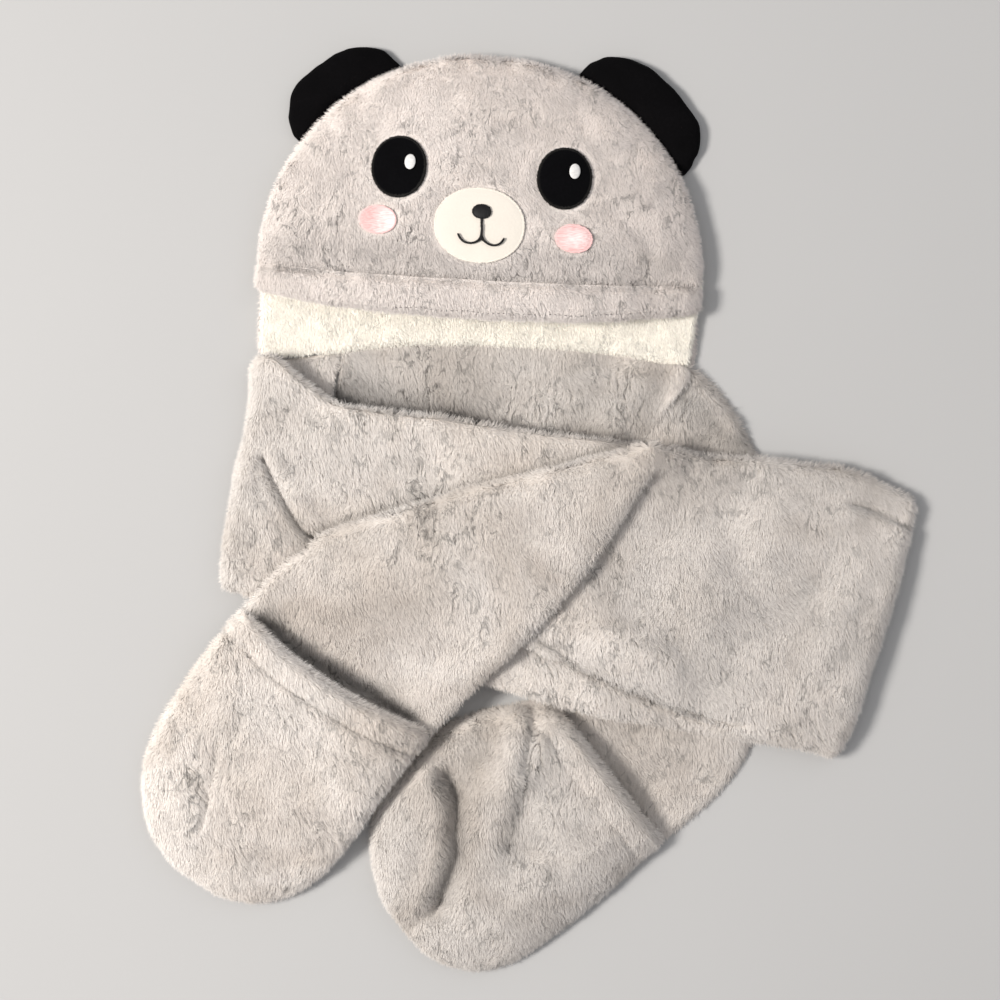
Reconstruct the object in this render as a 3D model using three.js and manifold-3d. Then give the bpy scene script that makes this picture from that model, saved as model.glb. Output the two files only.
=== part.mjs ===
import * as THREE from "three";
import { mergeVertices } from "three/addons/utils/BufferGeometryUtils.js";
import Module from "manifold-3d";

const wasm = await Module();
wasm.setup();

// An animal hood with a scarf whose two arms end in hand pockets, in thick plush, laid flat on a table.
// Millimetres, +Z up. The face looks up and the crown points along +Y.

// Hood
const hoodWidth = 292; // across the brim, laid flat
const crownHeight = 141; // from the crown's widest line to its top
const crownBase = 20; // the widest line's height over the hood's zero line
const crownSquareness = 2.02; // exponent of the crown's outline, 2 is an ellipse
const hoodTurn = -3; // degrees that the hood lies turned
const hoodLoft = 24; // height of the space for the head, at its middle
const creaseEnds = 17; // height of the brim's crease over the zero line, at the sides
const creaseDroop = 6; // how much lower the crease is in the middle
const brimDepth = 20; // of the turned band along the front edge
const neckDrop = 43; // from the zero line down to the seam with the scarf, at the sides
const neckArch = 16; // how much higher that seam is in the middle
const backWall = 5; // plush of the back
const liningWall = 5; // curly lining
const frontWall = 8; // plush and lining of the front
const brimWall = 11;

// Ears
const earWidth = 90; // along the crown seam
const earHeight = 42; // from the chord of its seam
const earPadding = 12;
const earTuck = 16; // how far the ear is drawn inwards before the crown cuts it
const crownSag = 8; // how far the crown bows out over the chord under an ear
const earPlaces = [
  { name: "ear_left", seamAngle: 129.5, width: 0.98, height: 0.91 },
  { name: "ear_right", seamAngle: 47.5, width: 1.06, height: 1.01 },
];

// Face, with places as shares of half the hood's width and of the crown's height
const patchWall = 1.4;
const eyeWidth = 37;
const eyeHeight = 42;
const muzzleWidth = 60;
const muzzleHeight = 50;
const noseWidth = 13;
const noseHeight = 10;
const cheekWidth = 25;
const cheekHeight = 19;
const glintWidth = 8.5;
const glintHeight = 12;
const mouthThread = 1.9;
const faceTurn = -2;
const face = [
  { name: "muzzle", across: -0.01, up: 0.19, width: muzzleWidth, height: muzzleHeight, cells: 8, layer: 0 },
  { name: "eye_left", across: -0.383, up: 0.447, width: eyeWidth, height: eyeHeight, cells: 6, layer: 0 },
  { name: "eye_right", across: 0.36, up: 0.431, width: eyeWidth, height: eyeHeight, cells: 6, layer: 0 },
  { name: "cheek_left", across: -0.465, up: 0.196, width: cheekWidth, height: cheekHeight, cells: 6, layer: 0 },
  { name: "cheek_right", across: 0.415, up: 0.153, width: cheekWidth, height: cheekHeight, cells: 6, layer: 0 },
  { name: "glint_left", across: -0.334, up: 0.47, width: glintWidth, height: glintHeight, cells: 4, layer: 1 },
  { name: "glint_right", across: 0.404, up: 0.466, width: glintWidth, height: glintHeight, cells: 4, layer: 1 },
  { name: "nose", across: -0.002, up: 0.252, width: noseWidth, height: noseHeight, cells: 4, layer: 1 },
];
// The mouth's thread, with places as shares of half the muzzle's width and height from its middle
const mouthLines = [
  [
    { across: 0.06, up: 0.02 },
    { across: 0.06, up: -0.28 },
    { across: 0.05, up: -0.38 },
  ],
  [
    { across: 0.07, up: -0.3 },
    { across: -0.02, up: -0.44 },
    { across: -0.2, up: -0.5 },
    { across: -0.37, up: -0.43 },
    { across: -0.46, up: -0.24 },
  ],
  [
    { across: 0.05, up: -0.3 },
    { across: 0.15, up: -0.45 },
    { across: 0.32, up: -0.53 },
    { across: 0.49, up: -0.46 },
    { across: 0.56, up: -0.3 },
  ],
];

// Scarf. An arm is one band that folds flat over straight fold lines.
const scarfWall = 9;
const scarfWidth = 176;
const neckWidth = 153; // of the band at its left fold
const slantWidth = 128; // of the band at its slanting fold
const pocketWidth = 145;
const pocketLength = 168;
const pocketLoft = 15; // height of the space for the hand
const hemDepth = 15;
const hemWall = 9.5;
const mouthDip = 9; // how far the left pocket's mouth hangs back in its middle
const panelWall = 7;
const leftFoldStart = -132; // where the left fold meets the neck's seam, from the hood's middle
const tuckRun = 42; // from the neck seam to the left fold
const underRun = 416; // from the left fold to the right fold
const overRun = 263; // back from the right fold to the slanting fold
const endRun = 148; // from the slanting fold to the mouth of the pocket
const underHeading = -13.9; // degrees, direction of each run
const overHeading = 162.4;
const endHeading = -131.9;
const leftPocketHeading = -123.5;
const leftFold = 79.8; // degrees, direction of each fold line
const rightFold = 72;
const slantFold = 15.2;

// Right arm, which fans round on the table under the left one
const fanStart = 55.7; // degrees, direction across the band where it leaves the neck
const rightMouthX = 84; // middle of its pocket's mouth, from the hood's middle
const rightMouthY = -313;
const rightPocketHeading = -142;
const fanSections = [
  { along: 0, width: 0.84 },
  { along: 0.35, width: 0.9 },
  { along: 0.75, width: 0.8 },
  { along: 1, width: 0.665 },
];

// How far each long edge stands out from a straight line, as shares of the scarf's width
const underEdges = [
  { along: 0, upper: 0, lower: 0 },
  { along: 0.1, upper: -0.13, lower: 0.03 },
  { along: 0.35, upper: -0.08, lower: 0.08 },
  { along: 0.6, upper: -0.03, lower: 0.085 },
  { along: 0.8, upper: 0, lower: 0.05 },
  { along: 1, upper: 0, lower: 0 },
];
const overEdges = [
  { along: 0, upper: 0, lower: 0 },
  { along: 0.22, upper: 0.06, lower: 0.05 },
  { along: 0.5, upper: 0.05, lower: 0.03 },
  { along: 1, upper: 0, lower: 0 },
];
const endEdges = [
  { along: 0, upper: 0, lower: 0 },
  { along: 0.45, upper: 0.055, lower: 0.02 },
  { along: 1, upper: 0, lower: 0 },
];
const straightEdges = [
  { along: 0, upper: 0, lower: 0 },
  { along: 1, upper: 0, lower: 0 },
];

// Soft ridges. Along runs from 0 to 1 down a stretch and across from -1 to 1 over it. Rise is a share of the scarf's
// wall and spread a share of the scarf's width.
const underRidges = [
  { fromAlong: 0, fromAcross: 1.05, toAlong: 0.5, toAcross: 1, rise: 1.5, spread: 0.15 },
  { fromAlong: 0, fromAcross: -0.1, toAlong: 0.04, toAcross: -0.9, rise: 0.45, spread: 0.11 },
];
const overRidges = [
  { fromAlong: 0.36, fromAcross: 0.2, toAlong: 0.4, toAcross: -0.7, rise: 0.8, spread: 0.13 },
  { fromAlong: 0.02, fromAcross: 0.4, toAlong: 0.04, toAcross: -0.8, rise: 0.35, spread: 0.08 },
];
const endRidges = [
  { fromAlong: 0.15, fromAcross: 0.95, toAlong: 0.8, toAcross: 0.95, rise: 0.3, spread: 0.1 },
  { fromAlong: 0.5, fromAcross: -0.3, toAlong: 0.9, toAcross: -0.1, rise: 0.3, spread: 0.12 },
];
const neckRidges = [
  { fromAlong: 0.9, fromAcross: 0.8, toAlong: 0.86, toAcross: -0.3, rise: 0.85, spread: 0.07 },
];
const leftPocketRidges = [
  { fromAlong: 0.15, fromAcross: -0.45, toAlong: 0.6, toAcross: -0.62, rise: 0.25, spread: 0.06 },
  { fromAlong: 0.5, fromAcross: 0.5, toAlong: 0.8, toAcross: 0.3, rise: 0.3, spread: 0.12 },
];
const rightPocketRidges = [
  { fromAlong: 0.02, fromAcross: -0.62, toAlong: 0.72, toAcross: 0.05, rise: 0.7, spread: 0.07 },
  { fromAlong: 0.1, fromAcross: -0.95, toAlong: 0.8, toAcross: -0.6, rise: 0.6, spread: 0.1 },
  { fromAlong: 0.0, fromAcross: 0.7, toAlong: 0.6, toAcross: 0.55, rise: 0.5, spread: 0.08 },
];

// Fits and fineness
const seamGap = 0.5; // between two sewn pieces
const layerGap = 0.6; // between two layers that lie on each other
const facet = 22; // the longest facet of a soft piece
const bandColumns = 10;
const pileCell = 4; // grid of the height map
const pileReach = 460; // half the height map's side
const drapeSlope = 0.62; // steepest fall of a layer past what it lies on
const edgeShare = 0.42; // thickness that is left at the edge of a band
const foldSteps = 6;

const mix = THREE.MathUtils.lerp;
const plan = (x, y) => new THREE.Vector2(x, y);
const unit = (degrees) => plan(1, 0).rotateAround(plan(0, 0), THREE.MathUtils.degToRad(degrees));
const along = (from, to, share) => from.clone().lerp(to, share);
const steps = (count) => Array.from({ length: count + 1 }, (_, i) => i / count);

// Numbers from -1 to 1, closer together at both ends.
const across = (count) => steps(count).map((share) => Math.sin((share - 0.5) * Math.PI));

// A value between a table's rows, smooth at each row.
function fromTable(table, column, at) {
  const next = Math.max(1, table.findIndex((row) => row.along >= at));
  const low = table[next - 1];
  const high = table[next];
  return mix(low[column], high[column], THREE.MathUtils.smoothstep(at, low.along, high.along));
}

// How much of a band's thickness is left at a place across it, from -1 to 1.
const roundOff = (place) => mix(edgeShare, 1, Math.sqrt(1 - Math.min(1, Math.abs(place)) ** 5));

// The height that a table of soft ridges adds at a place on a stretch of the given length and width.
function ridgeHeight(ridges, down, over, length, width) {
  const here = plan(down * length, (over * width) / 2);
  return ridges.reduce((sum, ridge) => {
    const start = plan(ridge.fromAlong * length, (ridge.fromAcross * width) / 2);
    const run = plan(ridge.toAlong * length, (ridge.toAcross * width) / 2).sub(start);
    const share = THREE.MathUtils.clamp(here.clone().sub(start).dot(run) / run.lengthSq(), 0, 1);
    const away = here.distanceTo(start.addScaledVector(run, share)) / (ridge.spread * scarfWidth);
    return sum + ridge.rise * scarfWall * Math.exp(-away * away);
  }, 0);
}

// A closed wall between two grids of points with rows of equal length.
function wallBetween(outer, inner) {
  const rows = outer.length;
  const columns = outer[0].length;
  const outside = (i, j) => i * columns + j;
  const inside = (i, j) => (rows + i) * columns + j;
  const faces = [];
  const quad = (a, b, c, d) => faces.push([a, b, c], [a, c, d]);
  for (let i = 0; i < rows - 1; i++) {
    for (let j = 0; j < columns - 1; j++) {
      quad(outside(i, j), outside(i + 1, j), outside(i + 1, j + 1), outside(i, j + 1));
      quad(inside(i, j), inside(i, j + 1), inside(i + 1, j + 1), inside(i + 1, j));
    }
    quad(outside(i, 0), inside(i, 0), inside(i + 1, 0), outside(i + 1, 0));
    const last = columns - 1;
    quad(outside(i, last), outside(i + 1, last), inside(i + 1, last), inside(i, last));
  }
  for (let j = 0; j < columns - 1; j++) {
    quad(outside(0, j), outside(0, j + 1), inside(0, j + 1), inside(0, j));
    const last = rows - 1;
    quad(outside(last, j), inside(last, j), inside(last, j + 1), outside(last, j + 1));
  }
  const points = [...outer.flat(), ...inner.flat()];
  const volume = faces.reduce(
    (sum, [a, b, c]) => sum + points[a].dot(points[b].clone().cross(points[c])),
    0,
  );
  const index = faces.flatMap(([a, b, c]) => (volume < 0 ? [a, c, b] : [a, b, c]));
  const geometry = new THREE.BufferGeometry().setFromPoints(points);
  geometry.setIndex(index);
  return geometry;
}

// The same wall from rows of places, each with its middle, the way its first side faces and its thickness.
function wallFromRows(rows) {
  const side = (sign) =>
    rows.map((row) =>
      row.map(({ middle, facing, thickness }) => middle.clone().addScaledVector(facing, (sign * thickness) / 2)),
    );
  return wallBetween(side(1), side(-1));
}

// Heights of what already lies on the table, on a square grid, for the next layer to rest on.
class Pile {
  constructor() {
    this.half = Math.ceil(pileReach / pileCell);
    this.count = 2 * this.half + 1;
    this.tops = new Float32Array(this.count ** 2);
  }

  // Adds the top side of a layer, given as a grid of points.
  lay(grid) {
    for (let i = 0; i < grid.length - 1; i++) {
      for (let j = 0; j < grid[0].length - 1; j++) {
        this.layTriangle(grid[i][j], grid[i + 1][j], grid[i + 1][j + 1]);
        this.layTriangle(grid[i][j], grid[i + 1][j + 1], grid[i][j + 1]);
      }
    }
    this.rests = this.softened();
  }

  layTriangle(a, b, c) {
    const flat = new THREE.Triangle(a.clone().setZ(0), b.clone().setZ(0), c.clone().setZ(0));
    const box = new THREE.Box3().setFromPoints([a, b, c]);
    const low = box.min.clone().divideScalar(pileCell).floor();
    const high = box.max.clone().divideScalar(pileCell).ceil();
    const share = new THREE.Vector3();
    for (let y = low.y; y <= high.y; y++) {
      for (let x = low.x; x <= high.x; x++) {
        const spot = new THREE.Vector3(x * pileCell, y * pileCell, 0);
        if (!flat.getBarycoord(spot, share) || Math.min(share.x, share.y, share.z) < -1e-6) continue;
        const cell = (y + this.half) * this.count + x + this.half;
        const top = share.x * a.z + share.y * b.z + share.z * c.z + layerGap;
        this.tops[cell] = Math.max(this.tops[cell], top);
      }
    }
  }

  // The heights widened by three quarters of a facet, with soft slopes past their edges.
  softened() {
    const radius = Math.ceil((0.75 * facet) / pileCell);
    const strides = [1, this.count];
    const spread = (heights, stride, pick) =>
      heights.map((_, cell) => {
        const place = Math.floor(cell / stride) % this.count;
        const low = cell - Math.min(radius, place) * stride;
        const high = cell + Math.min(radius, this.count - 1 - place) * stride;
        return pick(heights, low, high, stride);
      });
    const highest = (heights, low, high, stride) => {
      let best = 0;
      for (let k = low; k <= high; k += stride) best = Math.max(best, heights[k]);
      return best;
    };
    const mean = (heights, low, high, stride) => {
      let sum = 0;
      for (let k = low; k <= high; k += stride) sum += heights[k];
      return (sum * stride) / (high - low + stride);
    };
    const wide = strides.reduce((heights, stride) => spread(heights, stride, highest), this.tops);
    const fall = drapeSlope * pileCell;
    const neighbours = [
      [1, 1],
      [this.count, 1],
      [this.count + 1, Math.SQRT2],
      [this.count - 1, Math.SQRT2],
    ];
    for (let cell = this.count + 1; cell < wide.length; cell++)
      for (const [offset, distance] of neighbours)
        wide[cell] = Math.max(wide[cell], wide[cell - offset] - fall * distance);
    for (let cell = wide.length - this.count - 2; cell >= 0; cell--)
      for (const [offset, distance] of neighbours)
        wide[cell] = Math.max(wide[cell], wide[cell + offset] - fall * distance);
    return strides.reduce((heights, stride) => spread(heights, stride, mean), wide);
  }

  // The height at which a layer's underside rests.
  level(spot) {
    if (!this.rests) return 0;
    const x = spot.x / pileCell + this.half;
    const y = spot.y / pileCell + this.half;
    const cell = Math.floor(y) * this.count + Math.floor(x);
    const low = mix(this.rests[cell], this.rests[cell + 1], x % 1);
    const high = mix(this.rests[cell + this.count], this.rests[cell + this.count + 1], x % 1);
    return mix(low, high, y % 1);
  }
}

const pile = new Pile();
const topSide = (rows) =>
  rows.map((row) => row.map(({ middle, thickness }) => middle.clone().setZ(middle.z + thickness / 2)));

// A row of places of a layer that rests on the pile. Spots are in plan, lifts stand over the pile.
function restingRow(spots, lifts, thicknesses, upright = 1) {
  return spots.map((spot, j) => ({
    middle: new THREE.Vector3(spot.x, spot.y, pile.level(spot) + lifts[j] + thicknesses[j] / 2),
    facing: new THREE.Vector3(0, 0, upright),
    thickness: thicknesses[j],
  }));
}

// Hood, in a plan of its own with x across and y towards the crown
const halfHood = hoodWidth / 2;
const hoodSpot = (x, y) => plan(x, y).rotateAround(plan(0, 0), THREE.MathUtils.degToRad(hoodTurn));
const middleBulge = (x) => 1 - Math.min(1, Math.abs(x / halfHood)) ** 2.6;
const creaseLine = (x) => creaseEnds - creaseDroop * middleBulge(x);
const brimLine = (x) => creaseLine(x) - brimDepth * mix(0.75, 1.1, middleBulge(x));
const neckLine = (x) => -neckDrop + neckArch * middleBulge(x - 0.1 * hoodWidth);

// Half the hood's width at a height over the middle of the crease.
function hoodHalfWidth(y) {
  const up = THREE.MathUtils.clamp((y - crownBase) / crownHeight, 0, 1);
  return halfHood * (1 - up ** crownSquareness) ** (1 / crownSquareness);
}

// 0 in the middle of the crown and 1 on its seam.
function crownShare(x, y) {
  const up = Math.max(0, (y - crownBase) / crownHeight);
  return Math.min(1, (Math.abs(x / halfHood) ** crownSquareness + up ** crownSquareness) ** (1 / crownSquareness));
}

const innerFloor = backWall + liningWall + 2 * seamGap; // under the space for the head
const headRoom = (x, y) => hoodLoft * (1 - crownShare(x, y) ** 2) ** 0.72;
const frontThickness = (x, y) => frontWall * roundOff(crownShare(x, y));
const frontTop = (x, y) => innerFloor + headRoom(x, y) + frontThickness(x, y);

// Rows over the hood's plan from its lower line, given as a function of x, up to the crown's top.
function hoodGrid(lowerLine, rowCount, columnCount, inset = 0) {
  const lowest = lowerLine(halfHood);
  const highest = crownBase + crownHeight * 0.992;
  return steps(rowCount).map((share) => {
    const y = mix(lowest, highest, Math.sin((share * Math.PI) / 2));
    const fade = (1 - share) ** 2;
    return across(columnCount).map((place) => {
      const drop = (lowerLine(place * halfHood) - lowest) * fade;
      return plan(place * (hoodHalfWidth(y) - inset), y + drop);
    });
  });
}

// A flat layer of the hood's back that lies over the whole of its plan.
function hoodLayer(bottom, thickness, inset) {
  const grid = hoodGrid(neckLine, 12, 12, inset);
  const atHeight = (height) =>
    grid.map((row) => row.map((p) => {
      const spot = hoodSpot(p.x, p.y);
      return new THREE.Vector3(spot.x, spot.y, height(p));
    }));
  return wallBetween(
    atHeight((p) => bottom + thickness * roundOff(crownShare(p.x, p.y))),
    atHeight(() => bottom),
  );
}

function hoodFront() {
  const grid = hoodGrid(creaseLine, 14, 16);
  const atHeight = (height) =>
    grid.map((row) => row.map((p) => {
      const spot = hoodSpot(p.x, p.y);
      return new THREE.Vector3(spot.x, spot.y, height(p.x, p.y));
    }));
  return wallBetween(
    atHeight(frontTop),
    atHeight((x, y) => innerFloor + headRoom(x, y)),
  );
}

function hoodBrim() {
  const places = across(18);
  const sides = [1, 0].map((top) =>
    places.map((place) =>
      across(6).map((deep) => {
        const x = place * halfHood;
        const y = mix(creaseLine(x) - seamGap, brimLine(x), (deep + 1) / 2);
        const spot = hoodSpot(x, y);
        const thickness = brimWall * roundOff(deep) * roundOff(place);
        return new THREE.Vector3(spot.x, spot.y, innerFloor + headRoom(x, y) + top * thickness);
      }),
    ),
  );
  return wallBetween(...sides);
}

const toSolid = (geometry) => {
  const bare = geometry.index ? geometry.clone() : geometry;
  bare.deleteAttribute("normal");
  bare.deleteAttribute("uv");
  const merged = mergeVertices(bare, 1e-4);
  const mesh = new wasm.Mesh({
    numProp: 3,
    vertProperties: merged.attributes.position.array,
    triVerts: new Uint32Array(merged.index.array),
  });
  return new wasm.Manifold(mesh);
};

const toGeometry = (solid) => {
  const { vertProperties, triVerts } = solid.getMesh();
  const geometry = new THREE.BufferGeometry();
  geometry.setAttribute("position", new THREE.BufferAttribute(vertProperties, 3));
  return geometry.setIndex(new THREE.BufferAttribute(triVerts, 1));
};

// A prism over the hood's outline, for cutting the ears to the crown's seam.
function crownCutter() {
  const angles = steps(48).map((share) => share * Math.PI);
  const reach = halfHood + 2 * seamGap;
  const outline = angles.map((angle) => {
    const x = reach * Math.sign(Math.cos(angle)) * Math.abs(Math.cos(angle)) ** (2 / crownSquareness);
    const y = (crownHeight + 2 * seamGap) * Math.sin(angle) ** (2 / crownSquareness);
    return hoodSpot(x, crownBase + y);
  });
  outline.push(hoodSpot(-reach, -neckDrop), hoodSpot(reach, -neckDrop));
  const depth = 8 * earPadding;
  const prism = new THREE.ExtrudeGeometry(new THREE.Shape(outline), { depth, bevelEnabled: false });
  return toSolid(prism.translate(0, 0, -depth / 2));
}

// A padded half-round ear whose base is cut to the crown's seam.
function ear({ seamAngle, width, height }) {
  const angle = THREE.MathUtils.degToRad(seamAngle);
  const seam = plan(
    halfHood * Math.sign(Math.cos(angle)) * Math.abs(Math.cos(angle)) ** (2 / crownSquareness),
    crownBase + crownHeight * Math.sin(angle) ** (2 / crownSquareness),
  );
  const out = plan(Math.cos(angle) * crownHeight, Math.sin(angle) * halfHood).normalize();
  const sideways = plan(-out.y, out.x);
  const squareness = 2.5;
  const sides = [1, 0].map((top) =>
    steps(14).map((share) => {
      const side = 0.985 * Math.sin((share - 0.5) * Math.PI);
      const reach = earHeight * height * (1 - Math.abs(side) ** squareness) ** (1 / squareness);
      return steps(6).map((deep) => {
        const up = mix(-earTuck, reach, Math.sin((deep * Math.PI) / 2));
        const place = seam
          .clone()
          .addScaledVector(sideways, (side * earWidth * width) / 2)
          .addScaledVector(out, up - crownSag);
        const edge = Math.max(Math.abs(side), deep ** 2);
        const spot = hoodSpot(place.x, place.y);
        return new THREE.Vector3(spot.x, spot.y, top * earPadding * mix(0.25, 1, Math.sqrt(1 - edge ** 3)));
      });
    }),
  );
  return toGeometry(toSolid(wallBetween(...sides)).subtract(crownCutter()));
}
// The places of a disc on a square grid, each from -1 to 1.
const discGrid = (cells) =>
  steps(cells).map((i) =>
    steps(cells).map((j) => {
      const a = 2 * i - 1;
      const b = 2 * j - 1;
      return plan(a * Math.sqrt(1 - (b * b) / 2), b * Math.sqrt(1 - (a * a) / 2));
    }),
  );

const facePlace = ({ across: side, up }) => plan(side * halfHood, up * crownHeight + crownBase);

// An oval patch that follows the crown's front, on a given layer over it.
function facePatch(row) {
  const middle = facePlace(row);
  const turn = THREE.MathUtils.degToRad(faceTurn);
  const base = seamGap + row.layer * (patchWall + seamGap);
  const sides = [1, 0].map((top) =>
    discGrid(row.cells).map((line) =>
      line.map((share) => {
        const offset = plan((share.x * row.width) / 2, (share.y * row.height) / 2);
        const place = offset.rotateAround(plan(0, 0), turn).add(middle);
        const spot = hoodSpot(place.x, place.y);
        const thickness = patchWall * mix(0.5, 1, Math.sqrt(1 - Math.min(1, share.length()) ** 4));
        return new THREE.Vector3(spot.x, spot.y, frontTop(place.x, place.y) + base + top * thickness);
      }),
    ),
  );
  return wallBetween(...sides);
}

// The stitched mouth: thread laid along three lines and joined.
function mouth() {
  const muzzle = facePlace(face[0]);
  const nose = facePlace(face[7]);
  const height = 2 * seamGap + patchWall + mouthThread / 2;
  const section = new THREE.Shape().absarc(0, 0, mouthThread / 2, 0, 2 * Math.PI);
  const threads = mouthLines.map((line) => {
    const points = line.map((share) => {
      const x = muzzle.x + (share.across * muzzleWidth) / 2;
      const y = Math.min(muzzle.y + (share.up * muzzleHeight) / 2, nose.y - noseHeight / 2 - seamGap - mouthThread / 2);
      const spot = hoodSpot(x, y);
      return new THREE.Vector3(spot.x, spot.y, frontTop(x, y) + height);
    });
    const options = { steps: 6, curveSegments: 2, extrudePath: new THREE.CatmullRomCurve3(points) };
    return toSolid(new THREE.ExtrudeGeometry(section, options));
  });
  return toGeometry(threads.reduce((all, thread) => all.add(thread)).simplify(0.05));
}

// Arms. A section is a line across the band, from its lower to its upper edge.
const sectionAt = (middle, angle, heading, width) => {
  const reach = width / 2 / Math.abs(Math.sin(THREE.MathUtils.degToRad(angle - heading)));
  const line = unit(angle);
  return {
    lower: middle.clone().addScaledVector(line, -reach),
    upper: middle.clone().addScaledVector(line, reach),
  };
};

// Lays one run of an arm on the pile, between two sections.
function layRun({ start, end, edges, ridges, upright, firstRow = 0 }) {
  const middleOf = (section) => along(section.lower, section.upper, 0.5);
  const length = middleOf(start).distanceTo(middleOf(end));
  const count = Math.max(2, Math.ceil(length / facet));
  const outward = (from, to, apart) => {
    const edge = to.clone().sub(from);
    const out = plan(-edge.y, edge.x).normalize();
    return out.dot(apart) > 0 ? out : out.negate();
  };
  const apart = start.upper.clone().sub(start.lower);
  const upperOut = outward(start.upper, end.upper, apart);
  const lowerOut = outward(start.lower, end.lower, apart.clone().negate());
  const rows = steps(count).map((share) => {
    const upper = along(start.upper, end.upper, share)
      .addScaledVector(upperOut, fromTable(edges, "upper", share) * scarfWidth);
    const lower = along(start.lower, end.lower, share)
      .addScaledVector(lowerOut, fromTable(edges, "lower", share) * scarfWidth);
    const places = across(bandColumns);
    return restingRow(
      places.map((place) => along(lower, upper, (place + 1) / 2)),
      places.map((place) => ridgeHeight(ridges, share, place, length, scarfWidth)),
      places.map((place) => scarfWall * roundOff(place)),
      upright,
    );
  });
  pile.lay(topSide(rows));
  return rows.slice(firstRow);
}

// Rows round a fold, from the last row of the run below to the first row of the run above.
function foldRows(below, above, outward) {
  return steps(foldSteps).slice(1, -1).map((share) => {
    const angle = share * Math.PI;
    return below.map((place, j) => {
      const radius = (above[j].middle.z - place.middle.z) / 2;
      const inward = new THREE.Vector3(
        -outward.x * Math.sin(angle),
        -outward.y * Math.sin(angle),
        Math.cos(angle),
      );
      const hub = place.middle.clone().add(above[j].middle).multiplyScalar(0.5);
      return {
        middle: hub.addScaledVector(inward, -radius),
        facing: inward.multiplyScalar(place.facing.z),
        thickness: mix(place.thickness, above[j].thickness, share),
      };
    });
  });
}

// Half a pocket's width at a share of its length, as a share of its half width at the mouth.
function pocketHalf(share) {
  const roundFrom = 0.52;
  if (share <= roundFrom) return 1;
  const over = (share - roundFrom) / (1.003 - roundFrom);
  return (1 - over ** 2.25) ** (1 / 2.25);
}

// How far the middle of a pocket's mouth hangs back, as a share of its length, at a place across it.
const mouthHang = (pocket, place) => (pocket.hang / pocket.length) * (1 - place * place);

// A place on a pocket's plan. A pocket has its mouth's middle, the way it runs, half its width at the mouth and at its
// belly, its length and how far its round end bows to one side.
function pocketSpot(pocket, down, over) {
  const half = pocketHalf(down) * mix(pocket.mouthHalf, pocket.half, Math.min(1, down * 3));
  return pocket.mouth
    .clone()
    .addScaledVector(unit(pocket.heading), down * pocket.length)
    .addScaledVector(unit(pocket.heading + 90), over * half + pocket.bow * Math.sin(Math.PI * down));
}

// Shares of a pocket's length at which its rows lie, from the mouth over the hem's edge to the round end.
const pocketShares = [0, ...steps(9).map((share) => mix(hemDepth / pocketLength, 1, Math.sin((share * Math.PI) / 2)))];

// The back of a pocket: the band's own end, cut round.
function pocketBack(pocket, upright) {
  const places = across(bandColumns);
  const rows = pocketShares.map((down) =>
    restingRow(
      places.map((place) => pocketSpot(pocket, down, place)),
      places.map(() => 0),
      places.map((place) => scarfWall * roundOff(place) * mix(0.5, 1, Math.sqrt(1 - down ** 6))),
      upright,
    ),
  );
  pile.lay(topSide(rows));
  return rows;
}

// The top of a pocket's back at one column and a share of its length.
function backTop(backSide, down, column) {
  const next = Math.max(1, pocketShares.findIndex((share) => share >= down - 1e-9));
  const share = (down - pocketShares[next - 1]) / (pocketShares[next] - pocketShares[next - 1]);
  return backSide[next - 1][column].clone().lerp(backSide[next][column], share);
}

// A wall over the hand's space, with its rows at the given shares of the pocket's length.
function pocketOver(pocket, backSide, shares, wallAt, ridges) {
  const places = across(bandColumns);
  return shares.map((row, i) =>
    places.map((place, j) => {
      const down = row.share + (row.hangs ? mouthHang(pocket, place) : 0);
      const open = (1 - down ** 2.6) ** 0.7 * (1 - Math.abs(place) ** 2.4) ** 0.8;
      const fade = (1 - place ** 6) * (1 - down ** 6);
      const ridge = fade * ridgeHeight(ridges, down, place, pocket.length, 2 * pocket.half);
      const thickness = wallAt(i / (shares.length - 1)) * roundOff(place);
      const middle = backTop(backSide, down, j);
      middle.z += seamGap + pocketLoft * open + ridge + thickness / 2;
      return { middle, facing: new THREE.Vector3(0, 0, 1), thickness };
    }),
  );
}

// The panel and the hem over one pocket's back, both laid on the pile.
function pocketPieces(pocket, backRows, ridges) {
  const backSide = topSide(backRows);
  const hemEdge = pocketShares[1];
  const gap = seamGap / pocket.length;
  const hemShares = steps(4).map((share) => ({ share: share * hemEdge, hangs: true }));
  const panelShares = [
    { share: hemEdge + gap, hangs: true },
    ...pocketShares.slice(2, -1).map((share) => ({ share })),
    { share: mix(pocketShares.at(-2), 1, 0.7) },
  ];
  const hem = pocketOver(pocket, backSide, hemShares, (share) => hemWall * roundOff(2 * share - 1), []);
  const panel = pocketOver(pocket, backSide, panelShares, (share) => panelWall * roundOff(share), ridges);
  pile.lay(topSide(panel));
  pile.lay(topSide(hem));
  return { panel: wallFromRows(panel), hem: wallFromRows(hem) };
}

// Neck seam ends, where the scarf meets the hood
const leftSeam = hoodSpot(leftFoldStart, neckLine(leftFoldStart) - 5 * seamGap);
const rightSeam = hoodSpot(halfHood * 0.985, neckLine(halfHood) - seamGap);

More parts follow.
